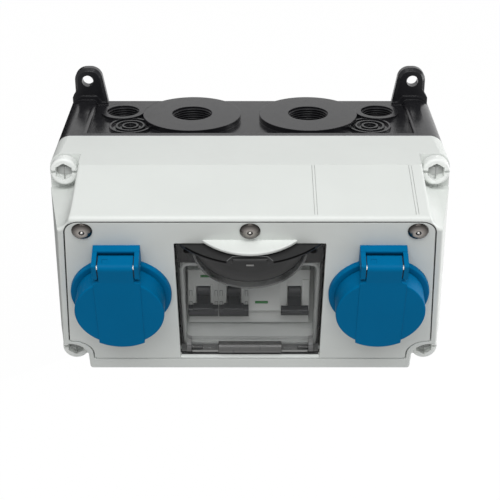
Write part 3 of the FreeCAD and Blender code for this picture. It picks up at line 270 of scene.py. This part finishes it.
# Finishes of single pieces
# Smoked cup wall with painted shade
CUP_WALL_SHADE = cup_wall_painted_shade("smoked_cup_wall_painted_shade")
BRIGHT_STEEL = metal("bright_steel", (0.7, 0.68, 0.65), 0.3)
# Steel with a painted sheen
PAINTED_SHEEN_STEEL = painted_sheen_metal("steel_painted_sheen")
TAB = plastic("smoke_grey_tab", (0.014, 0.0145, 0.0145), 0.35, edge=0.2 * MM)
TAB_EDGE = plastic("pale_tab_edge", (0.2, 0.205, 0.205), 0.4)
GREEN_MARK = plastic("green_mark", (0.03, 0.2, 0.05), 0.5)
# Dark grey for the breakers' marks, and painted shade in the cover screws' slits
DARK_MARK_AND_SLIT_SHADE = plastic("dark_mark_and_painted_slit_shade", (0.3, 0.31, 0.3), 0.6)
# Painted shade of the label grooves
GROOVE_SHADE_LINE = plastic("painted_groove_shade", (0.5, 0.52, 0.5), 0.55)
# Painted shade in the cover screws' recesses
RECESS_SHADE = plastic("painted_recess_shade", (0.44, 0.45, 0.44), 0.5, edge=0.15 * MM)
BARREL = plastic("smoke_grey_barrel", (0.09, 0.09, 0.088), 0.3, edge=0.15 * MM)
# Painted highlight on the window's hinge lips
HINGE_LIP_HIGHLIGHT = plastic("hinge_lip_painted_highlight", (0.27, 0.275, 0.265), 0.35, edge=0.1 * MM)
HINGE_GREY = plastic("grey_hinge", (0.2, 0.203, 0.2), 0.45, edge=0.2 * MM)
HINGE_PIN = plastic("dark_hinge_pin", (0.1, 0.102, 0.1), 0.5, edge=0.2 * MM)
# Painted light and shade on the window's hinge ears
HINGE_EAR_PAINTED_SHADE = painted_shade_plastic("hinge_ear_painted_shade", 0.1, 0.5)
# Painted shade in the gap under the window
SILL_SHADE_STRIP = plastic("dark_sill_shade_strip", (0.06, 0.061, 0.06), 0.55, edge=0.05 * MM)
# Painted shade in the cavity behind the window
SHADE_PLATE = plastic("dark_shade_plate", (0.03, 0.03, 0.03), 0.6)
# Painted shade under the window's visor
GRIP_SHADE_LINE = plastic("black_grip_shade_line", (0.002, 0.002, 0.002), 0.8, gloss=0.05)
CUP_MARK = plastic("pale_cup_mark", (0.42, 0.42, 0.41), 0.4, edge=0.1 * MM)


def dress_cad_nodes():
    """Give every node the finish of its material slot, except where the window's hinge has its own."""
    own = {"window_hinge_ears": HINGE_EAR_PAINTED_SHADE, "window_hinge_pin": HINGE_PIN}
    for subpart in frame["record"]["subparts"]:
        mesh = nodes[subpart["node"]].data
        mesh.materials.clear()
        mesh.materials.append(own.get(subpart["node"]) or MATERIALS[subpart["material_slot"]])


# Building blocks

def add_object(name, data):
    """New object in the scene."""
    made = bpy.data.objects.new(name, data)
    bpy.context.scene.collection.objects.link(made)
    return made


def add_mesh(name, form, material):
    """New object in the scene from a mesh under construction."""
    mesh = bpy.data.meshes.new(name)
    form.to_mesh(mesh)
    form.free()
    mesh.materials.append(material)
    return add_object(name, mesh)


def piece(name, form, slot, body, finish=None):
    """Turn a mesh under construction into a piece that rides on a body."""
    bmesh.ops.recalc_face_normals(form, faces=form.faces)
    made = add_mesh(name, form, finish or MATERIALS[slot])
    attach(made, body)
    return made


def on_slope(x, s, n):
    """Point of the frame, from millimetres across, along and over the sloping front."""
    return FRONT @ Vector((x * MM, s * MM, n * MM))


def at(x, depth, z):
    """Point of the frame, from millimetres across, forward of the wall and up."""
    return Vector((x, -depth, z)) * MM


def polar(x, y, radius, turn):
    """Point of a plane at a distance and an angle from a centre."""
    return x + radius * math.cos(turn), y + radius * math.sin(turn)


def between(first, last, steps):
    """Evenly spaced numbers from the first to the last."""
    return [first + (last - first) * step / steps for step in range(steps + 1)]


def full_turn(points):
    """Evenly spaced angles all the way round."""
    return [math.tau * step / points for step in range(points)]


def inset(x0, x1, y0, y1, shrink):
    """Corners of a rectangle that is drawn in on every side."""
    x0, x1, y0, y1 = x0 + shrink, x1 - shrink, y0 + shrink, y1 - shrink
    return (x0, y0), (x1, y0), (x1, y1), (x0, y1)


def bridge(form, first, second):
    """Faces between two closed rows of points."""
    for index, point in enumerate(first):
        following = (index + 1) % len(first)
        form.faces.new((point, first[following], second[following], second[index]))


def points_of(form, sections):
    """Rows of new points in a mesh under construction."""
    return [[form.verts.new(point) for point in section] for section in sections]


def skin(form, rows):
    """Faces along a run of closed rows of points, with its ends capped."""
    for first, second in zip(rows, rows[1:]):
        bridge(form, first, second)
    form.faces.new(rows[0])
    form.faces.new(rows[-1])


def sweep(form, sections):
    """Skin a run of closed sections, with its ends capped."""
    skin(form, points_of(form, sections))


def loop(form, sections):
    """Skin a run of closed sections that comes back to its start."""
    rows = points_of(form, sections)
    for first, second in zip(rows, rows[1:] + rows[:1]):
        bridge(form, first, second)


def beam(form, outline, near, far):
    """Beam across the front from one x to another, with an outline along and over the slope."""
    sweep(form, [[on_slope(x, s, n) for s, n in outline] for x in (near, far)])


def slope_plate(form, edges, levels):
    """Plate on the sloping front, from its four edges and the inset and height of its levels."""
    sweep(form, [[on_slope(x, s, n) for x, s in inset(*edges, shrink)] for shrink, n in levels])


def smooth(form):
    """Shade a mesh under construction as one rounded surface."""
    for face in form.faces:
        face.smooth = True


# Fine detail

def add_threads():
    """Screw thread in each of the four cable entries."""
    pitch, crest, lead, flank, steps = 1.5, 0.75, 0.9, 0.42, 48
    # Across, forward, radius of the bore, upper end, and number of turns
    entries = {"large": (35.1, 31.5, 12.15, 64.95, 7), "small": (77.6, 23.8, 9.8, 63.65, 6)}
    for size, (x, depth, bore, top, turns) in entries.items():
        ridge = ((bore, pitch * flank), (bore - crest, 0), (bore, -pitch * flank))
        for side, sign in SIDES.items():
            sections = []
            for step in range(turns * steps + 1):
                turn = math.tau * step / steps
                height = top - pitch * (lead + step / steps)
                sections.append([Vector((*polar(sign * x, -depth, r, turn), height + rise)) * MM
                                 for r, rise in ridge])
            form = bmesh.new()
            sweep(form, sections)
            piece(f"{side}_{size}_entry_thread", form, "housing", "unit")


def lobed_ring(form, x, s, radius, lobe, n):
    """Ring of points over the slope, wavy where a lobe height is given."""
    lobes, points = 6, 72
    share = form.verts.layers.float[SHARE]
    ring = []
    for turn in full_turn(points):
        reach = radius + lobe * math.cos(lobes * turn)
        point = form.verts.new(on_slope(*polar(x, s, reach, turn), n))
        point[share] = reach / SCREW_HEAD
        ring.append(point)
    return ring


def panel_screw_form(levels):
    """One turned shape at all three panel screws, from the radius, lobe and height of its levels."""
    screw_s = 116.3
    form = bmesh.new()
    form.verts.layers.float.new(SHARE)
    for x in (-88.5, 0, 88.5):
        skin(form, [lobed_ring(form, x, screw_s, *level) for level in levels])
    smooth(form)
    return form


def add_panel_screws():
    """Low domed screws with a six-lobed drive and a pin in its middle."""
    shank, tip, rim, crown, drive, lobe, well, steps = 2, -8.1, 0.35, 1.95, 1.75, 0.22, 0.7, 7
    head = [(shank, 0, tip), (shank, 0, 0), (SCREW_HEAD, 0, 0)]
    head += [(drive + (SCREW_HEAD - drive) * math.cos(a), 0, rim + (crown - rim) * math.sin(a))
             for a in between(0, math.pi / 2, steps)]
    head += [(1.35, lobe, crown - 0.05), (1.25, lobe, well)]
    pin = [(0.85, 0, well), (0.85, 0, 1.5), (0.7, 0, 1.85), (0.35, 0, 2)]
    # The heads carry a painted sheen, bright near the middle and dark at the rim
    screws = piece("panel_screw_heads", panel_screw_form(head), "steel", "unit", PAINTED_SHEEN_STEEL)
    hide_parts("panel_screws")
    piece("panel_screw_pins", panel_screw_form(pin), "steel", "unit", BRIGHT_STEEL)


def add_top_grooves():
    """Two pairs of fine lines on the top slope, which hold a label strip; their darker grey is painted shade
    in the grooves.
    """
    fold, front = (112, 64.25), (157, 52.54)  # depth and height of the slope's ends
    start, end = 0.01, 0.93
    width, rise, lean = 0.3, 0.07, 0.25
    edges = ((-width / 2, 0), (-width / 4, rise), (width / 4, rise), (width / 2, 0))
    form = bmesh.new()
    for x in (33.9, 35.4, 87.0, 88.5):
        sections = []
        for share in (start, end):
            depth, z = (a + (b - a) * share for a, b in zip(fold, front))
            sections.append([at(x + dx, depth + lean * dz, z + dz) for dx, dz in edges])
        sweep(form, sections)
    piece("top_groove_lines", form, "cover", "unit", GROOVE_SHADE_LINE)


def cup_turns(high, radius):
    """Angles round the lower side of the finger cup, with both ends at one height along the slope."""
    steps = 72
    first = math.asin((high - CUP_S) / radius)
    return between(first, -math.pi - first, steps)


def add_cup_wall():
    """Lighter wall round the finger cup of the window, with painted shade where dark parts show through it.
    """
    high, outer, inner = 105.9, 30.15, 29.75
    back, front, face = -4.95, -0.88, -0.82
    corners = ((outer, back), (inner, back), (inner, face),
               (CUP_BRIM, face), (CUP_BRIM, front), (outer, front))
    form = bmesh.new()
    sweep(form, [[on_slope(*polar(0, CUP_S, r, turn), n) for r, n in corners]
                 for turn in cup_turns(high, outer)])
    piece("finger_cup_wall", form, "smoke", "window", CUP_WALL_SHADE)


def add_cup_floor():
    """Skin on the floor of the finger cup, which carries painted light."""
    high, radius, back, face = 103.9, 29.6, -4.99, -4.93
    turns = cup_turns(high, radius)
    form = bmesh.new()
    sweep(form, [[on_slope(*polar(0, CUP_S, radius, turn), n) for turn in turns] for n in (back, face)])
    finish = cup_floor_painted_light("smoked_cup_floor_painted_light", on_slope(0, CUP_S, face), radius * MM)
    piece("cup_floor", form, "grip", "window", finish)


def add_grip_tab():
    """Tab in the notch of the window's pull, and its pale edge that flares."""
    half, low, high, back, face, corner, film = 9.45, 7.45, 11.2, 104.9, 106, 0.7, 0.06
    outline = ((-half, low), (half, low), (half, high - corner), (half - corner, high),
               (corner - half, high), (-half, high - corner))
    brow = ((-9.3, 8.8), (9.3, 8.8), (11.5, 11.1), (-11.5, 11.1))
    form = bmesh.new()
    for shape, ends in ((outline, (back, face)), (brow, (face, face + film))):
        sweep(form, [[on_slope(x, s, n) for x, n in shape] for s in ends])
    piece("grip_tab", form, "grip", "window", TAB)

    bead, rise = 0.35, 0.15
    path = [(-12.2, 12), (-9.5, 9), (-8.8, 8.7)]
    path += [(-x, n) for x, n in path[::-1]]
    section = ((0, 0), (0, bead), (rise, bead), (rise, 0))
    form = bmesh.new()
    sweep(form, [[on_slope(x, face + ds, n + dn) for ds, dn in section] for x, n in path])
    piece("grip_tab_edge", form, "grip", "window", TAB_EDGE)


def add_cup_mark():
    """Pale mark on the floor of the finger cup."""
    half, low, high, floor = 2.1, 83.7, 85.1, -5
    wall, rise, chamfer = 0.25, 0.4, 0.2
    form = bmesh.new()
    slope_plate(form, (-half, half, low, high), ((0, floor), (0, floor + wall), (chamfer, floor + rise)))
    piece("cup_mark", form, "grip", "window", CUP_MARK)


def add_grip_shade_line():
    """Black bead along the upper edge of the window's pull, at each side of its notch, which stands in for
    the shade under the visor.
    """
    chord, reach, near, far, steps = 36.8, 14.2, 12.4, 34.5, 20
    low, high, proud, root = 105, 106.04, 0.05, -0.3
    radius = (chord ** 2 + reach ** 2) / (2 * reach)
    centre = reach - radius
    section = [(s, radius + out) for s, out in ((low, root), (low, proud), (high, proud), (high, root))]
    turns = [math.asin(x / radius) for x in between(near, far, steps)]
    form = bmesh.new()
    for sign in SIDES.values():
        sweep(form, [[on_slope(sign * r * math.sin(turn), s, centre + r * math.cos(turn)) for s, r in section]
                     for turn in turns])
    piece("grip_edge_shade_line", form, "grip", "window", GRIP_SHADE_LINE)


def add_window_sleeves():
    """Black sleeve in the hole at each upper corner of the window."""
    hole_x, hole_s, points = 34, 100, 32
    levels = ((1.85, -3.35), (1.85, -0.9), (2.25, -0.9), (2.2, -0.75), (1.8, -0.7), (1.7, -3.1))
    form = bmesh.new()
    for sign in SIDES.values():
        sweep(form, [[on_slope(*polar(sign * hole_x, hole_s, radius, turn), n) for turn in full_turn(points)]
                     for radius, n in levels])
    piece("window_sleeves", form, "rubber", "window")


def add_hinge_trim():
    """Skin of the window's hinge barrel, the lips beside it with a painted highlight, and the shelf and sill
    strip below it, the strip dark as painted shade in the gap.
    """
    axis_s, axis_n, inner, outer, half, steps = 16, -3, 3.3, 3.42, 18.35, 24
    turns = between(math.radians(-35), math.radians(150), steps)
    arc = [(outer, turn) for turn in turns] + [(inner, turn) for turn in turns[::-1]]
    form = bmesh.new()
    beam(form, [polar(axis_s, axis_n, r, turn) for r, turn in arc], -half, half)
    piece("hinge_barrel_skin", form, "smoke", "window", BARREL)

    # The lips are pale as a painted highlight along the window's lower edge
    near, far = 18.6, 33.6
    lip = ((16.1, -0.45), (15.4, -0.33), (14.5, -0.4), (14.4, -0.7), (15.4, -0.75))
    form = bmesh.new()
    for sign in SIDES.values():
        beam(form, lip, sign * near, sign * far)
    piece("hinge_lips", form, "smoke", "window", HINGE_LIP_HIGHLIGHT)

    shelf = ((11.92, -8.4), (11.92, -3.3), (12, -3.25), (12.06, -3.4), (12.06, -8.4))
    form = bmesh.new()
    beam(form, shelf, -BAY_HALF, BAY_HALF)
    piece("hinge_shelf", form, "tray", "unit", HINGE_GREY)

    # Dark strip that stands in for the shade in the gap under the window
    sill_half = 40.6
    strip = ((10.4, -3.1), (10.62, -3.1), (10.62, -1.9), (10.4, -1.75))
    form = bmesh.new()
    beam(form, strip, -sill_half, sill_half)
    piece("sill_strip", form, "rubber", "unit", SILL_SHADE_STRIP)


def add_bay_rim():
    """Half-round rim with rounded corners along the front edge of the inner cover."""
    half, low, high, base = 37.9, 12.9, 81.4, -8.6
    width, rise, steps = 1.2, 0.75, 8
    low_round, high_round = 3.2, 4.5
    # Middle, radius and first angle of each corner
    corners = ((-half + high_round, high - high_round, high_round, 90),
               (-half + low_round, low + low_round, low_round, 180),
               (half - low_round, low + low_round, low_round, 270),
               (half - high_round, high - high_round, high_round, 0))
    path = []
    for x, s, radius, start in corners:
        turns = [math.radians(angle) for angle in between(start, start + 90, steps)]
        path += [(*polar(x, s, radius, turn), turn) for turn in turns]
    section = [(width * math.cos(a), rise * math.sin(a)) for a in between(0, math.pi, steps)]
    form = bmesh.new()
    loop(form, [[on_slope(*polar(x, s, out, turn), base + dn) for out, dn in section] for x, s, turn in path])
    smooth(form)
    piece("bay_rim", form, "tray", "unit")


def add_bay_shade_plate():
    """Dark plate between the inner cover and the edge of the panel's opening, which stands in for the shade
    in the cavity behind the window.
    """
    back, front, chamfer = -9.3, -8.7, 0.15
    cover_half, low, middle, high = 38.9, 12, 82.6, 106.5
    plates = ((-BAY_HALF, BAY_HALF, middle, high), (-BAY_HALF, -cover_half, low, middle),
              (cover_half, BAY_HALF, low, middle))
    form = bmesh.new()
    for edges in plates:
        slope_plate(form, edges, ((0, back), (0, front - chamfer), (chamfer, front)))
    piece("bay_shade_plate", form, "housing", "unit", SHADE_PLATE)


def add_panel_gap():
    """Black strip that stands in for the shade deep in the gap at the sides and top of the panel, where it
    shows as a fine dark line.
    """
    grow, half, low, high, foot, steps = 0.3, 0.3, -3.1, -0.02, 27, 10
    # The panel's straight sides run in from its wide end to its top
    wide_x, wide_s, top_x, top_s, corner = 104.3, 24.7, 97.3, 122.4, 8
    foot_x = wide_x - (wide_x - top_x) * (foot - wide_s) / (top_s - wide_s) + grow
    tip_x, tip_s, radius = top_x + grow, top_s + grow, corner + grow
    slant = (tip_x - foot_x) / (tip_s - foot)
    middle = (tip_x - radius - slant * radius, tip_s - radius)
    path = [Vector((foot_x, foot))]
    path += [Vector(polar(*middle, radius, turn)) for turn in between(0, math.pi / 2, steps)]
    path += [Vector((-point.x, point.y)) for point in path[::-1]]
    section = ((-1, low), (1, low), (1, high), (-1, high))
    sections = []
    for before, point, after in zip(path[:1] + path, path, path[1:] + path[-1:]):
        along = (after - before).normalized()
        out = Vector((along.y, -along.x)) * half
        sections.append([on_slope(*(point + side * out), n) for side, n in section])
    form = bmesh.new()
    sweep(form, sections)
    piece("panel_gap_line", form, "rubber", "unit")


def fill_knuckle_gaps(name, outline, near, far, slot, finish=None):
    """The same beam at each end of both lids' knuckles, between two distances from the lid's middle."""
    for side, sign in SIDES.items():
        form = bmesh.new()
        for end in (-1, 1):
            beam(form, outline, sign * SOCKET_X + end * near, sign * SOCKET_X + end * far)
        piece(f"{side}_{name}", form, slot, "unit", finish)


def add_lid_gap_shades():
    """Black plate in the gap at each end of a lid's knuckle, which stands in for the shade in the gap."""
    outline = ((103.2, 6), (103.2, 13.6), (102.6, 14.2), (95.2, 14.2), (93.6, 11.5), (93.6, 6))
    fill_knuckle_gaps("lid_gap_shades", outline, 9.42, 9.88, "rubber")


def add_lid_collars():
    """Corner of the steel collar that shows in the gap at each end of a lid's knuckle."""
    outline = ((103.3, 12.5), (103.3, 13.65), (102.65, 14.3), (101.5, 14.3), (101.5, 12.5))
    fill_knuckle_gaps("lid_collars", outline, 9.39, 10.2, "steel", BRIGHT_STEEL)


def raised_plate(form, x0, x1, z0, z1, rise, chamfer=0.2):
    """Low plate on the face of the devices, with a chamfered edge."""
    wall = 0.6 * rise
    levels = ((0, 0), (0, wall), (chamfer, rise))
    sweep(form, [[at(x, DEVICE_FACE + height, z) for x, z in inset(x0, x1, z0, z1, shrink)]
                 for shrink, height in levels])


def add_device_flags():
    """Coloured flags of the devices."""
    width, height, rise = 7.5, 1.6, 0.25
    form = bmesh.new()
    for x, z in ((-28.4, -5.3), (2.9, -22.3)):
        raised_plate(form, x, x + width, z, z + height, rise)
    piece("device_flags", form, "device", "unit", GREEN_MARK)


def add_device_faces():
    """Flanks beside the toggles, and the small frames of the breakers."""
    flank_near, flank_far, wide_flank_far = 4.25, 5.6, 8.5
    frame_near, frame_far, frame_height, bar, line = 6.4, 8.2, 3.4, 0.35, 0.4
    # Low and high end, rise and chamfer of the flanks; rise and chamfer of the frames
    flank_relief, wide_flank_relief = (-24.6, -9.6, 0.4), (-25.5, -6.5, 0.6, 0.45)
    frame_relief = (0.12, 0.05)
    flanks = bmesh.new()
    frames = bmesh.new()
    for x in BREAKERS.values():
        for sign in SIDES.values():
            inner, outer = sorted((x + sign * flank_near, x + sign * flank_far))
            raised_plate(flanks, inner, outer, *flank_relief)
            near, far = sorted((x + sign * frame_near, x + sign * frame_far))
            for low in (-17.4, -24.6):
                high = low + frame_height
                raised_plate(frames, near, far, high, high + line, *frame_relief)
                for edge in (near, far - bar):
                    raised_plate(frames, edge, edge + bar, low, high, *frame_relief)
    for sign in SIDES.values():
        ends = (RESIDUAL_CURRENT_X + sign * reach for reach in (flank_near, wide_flank_far))
        raised_plate(flanks, *sorted(ends), *wide_flank_relief)
    piece("device_flanks", flanks, "device", "unit")
    piece("device_frames", frames, "device", "unit", DARK_MARK_AND_SLIT_SHADE)


def add_toggle_steps():
    """Stepped shoulder over the finger bar of each breaker's toggle."""
    axis_depth, axis_z, half, chamfer = 105.3, -17, 5.7, 0.3
    lean = Matrix.Rotation(math.radians(32.5), 4, "X")
    section = ((-15.6, 3.8), (-11.6, 3.8), (-11.6, 5.4), (-11.9, 5.7), (-15.3, 5.7), (-15.6, 5.4))
    for name, toggle_x in BREAKERS.items():
        place = Matrix.Translation(at(toggle_x, axis_depth, axis_z)) @ lean
        form = bmesh.new()
        sweep(form, [[place @ (Vector((x, y, z)) * MM) for y, z in section] for x in (-half, half)])
        made = piece(f"{name}_toggle_step", form, "toggle", f"{name}_toggle")
        bevel = made.modifiers.new("softened", "BEVEL")
        bevel.width = chamfer * MM
        bevel.segments = 2


def add_screw_pips():
    """Small pip on the side of each cover screw's head."""
    head_r, depth, points = 7.8, 98.6, 20
    levels = ((0.9, -0.3), (0.9, 0.1), (0.7, 0.35), (0.35, 0.5))
    form = bmesh.new()
    for x, z in COVER_SCREWS:
        sweep(form, [[at(*polar(x, depth, radius, turn), z + head_r + rise) for turn in full_turn(points)]
                     for radius, rise in levels])
    piece("cover_screw_pips", form, "cover_screw", "unit")


def add_screw_recesses():
    """Ridged bottom in the hexagonal recess of each cover screw, with a slit along the ridge, both darker
    grey as painted shade.
    """
    floor, ridge, half, rise, slit = 98.95, 100.9, 4.4, 4.9, 0.3
    root, proud = ridge - 0.3, ridge + 0.05
    roof = ((-half, floor), (0, ridge), (half, floor))
    bar = ((-slit, root), (-slit, proud), (slit, proud), (slit, root))
    bottoms = bmesh.new()
    slits = bmesh.new()
    for x, z in COVER_SCREWS:
        for form, section, reach in ((bottoms, roof, half / 2), (slits, bar, rise)):
            sweep(form, [[at(x + dx, depth, z + dz) for dx, depth in section] for dz in (-reach, reach)])
    piece("cover_screw_recesses", bottoms, "cover_screw", "unit", RECESS_SHADE)
    piece("cover_screw_slits", slits, "cover_screw", "unit", DARK_MARK_AND_SLIT_SHADE)


# Studio

CAMERA_PLACE = Vector((0, -0.7509, 0.32655))
CAMERA_DIP = math.radians(26.2)
CAMERA_LENS = 90.39
CENTRE = (0, -0.12, 0)


def add_camera():
    """Camera in front of the unit and a little above it, looking down."""
    data = bpy.data.cameras.new("camera")
    data.lens = CAMERA_LENS
    data.sensor_width = 36
    camera = add_object("camera", data)
    camera.location = CAMERA_PLACE
    camera.rotation_euler = (math.pi / 2 - CAMERA_DIP, 0, 0)
    bpy.context.scene.camera = camera


def aim(made, place, target, axis):
    """Put an object at a place and turn one of its axes towards a point."""
    made.location = place
    made.rotation_euler = (Vector(target) - Vector(place)).to_track_quat(axis, "Y").to_euler()


def add_softbox(name, place, size, power):
    """Large square lamp turned towards the unit."""
    data = bpy.data.lights.new(name, "AREA")
    data.shape = "SQUARE"
    data.size = size
    data.energy = power
    aim(add_object(name, data), place, CENTRE, "-Z")


def seen_directly(tree):
    """1 on rays that come from the camera, a reflection or a clear piece, and 0 on light that bounces."""
    path = tree.nodes.new("ShaderNodeLightPath")
    total = path.outputs["Is Camera Ray"]
    for name in ("Is Glossy Ray", "Is Transmission Ray"):
        total = compute(tree, "MAXIMUM", total, path.outputs[name])
    return total


def light_world(ambient):
    """White surroundings that give the object only a soft fill."""
    world = bpy.data.worlds.new("studio")
    bpy.context.scene.world = world
    world.use_nodes = True
    tree = world.node_tree
    background = tree.nodes["Background"]
    background.inputs["Color"].default_value = (1, 1, 1, 1)
    strength = remap(tree, seen_directly(tree), target=(ambient, 1))
    tree.links.new(strength, background.inputs["Strength"])


def add_sheet(name, size, material):
    """Flat square of the stage."""
    form = bmesh.new()
    bmesh.ops.create_grid(form, x_segments=1, y_segments=1, size=size / 2)
    return add_mesh(name, form, material)


def add_card(place, target, size):
    """Dark card out of shot, which the nearest side of the unit reflects."""
    card = add_sheet("dark_card", size, plastic("dark_card", (0.02, 0.02, 0.02), 0.9, gloss=0))
    aim(card, place, target, "Z")
    card.visible_camera = False


def add_floor(height, size):
    """Pale floor well below the unit, which hangs on a wall that is left out."""
    material, tree, shader = new_material("pale_floor")
    shader.inputs["Base Color"].default_value = (0.6, 0.6, 0.6, 1)
    shader.inputs["Roughness"].default_value = 0.9
    glow = tree.nodes.new("ShaderNodeEmission")
    glow.inputs["Strength"].default_value = 1.02
    glow_share = 0.97
    blend = tree.nodes.new("ShaderNodeMixShader")
    tree.links.new(remap(tree, seen_directly(tree), target=(0, glow_share)), blend.inputs["Fac"])
    tree.links.new(shader.outputs["BSDF"], blend.inputs[1])
    tree.links.new(glow.outputs["Emission"], blend.inputs[2])
    tree.links.new(blend.outputs["Shader"], tree.nodes["Material Output"].inputs["Surface"])
    floor = add_sheet("floor", size, material)
    floor.location.z = height


dress_cad_nodes()
add_threads()
add_panel_screws()
add_top_grooves()
add_cup_wall()
add_cup_floor()
add_grip_tab()
add_cup_mark()
add_grip_shade_line()
add_device_flags()
add_device_faces()
add_toggle_steps()
add_screw_pips()
add_screw_recesses()
add_window_sleeves()
add_hinge_trim()
add_bay_rim()
add_bay_shade_plate()
add_panel_gap()
add_lid_gap_shades()
add_lid_collars()
add_camera()
add_softbox("key_softbox", (0, -1.15, 1.3), size=1.2, power=27)
add_softbox("right_softbox", (1.2, 0.25, 0.15), size=0.7, power=10)
light_world(ambient=0.28)
add_card((-0.4, 0.4, -0.15), target=(-0.1, 0, -0.15), size=0.7)
add_floor(height=-0.45, size=6)
bpy.context.scene.view_settings.view_transform = "Standard"
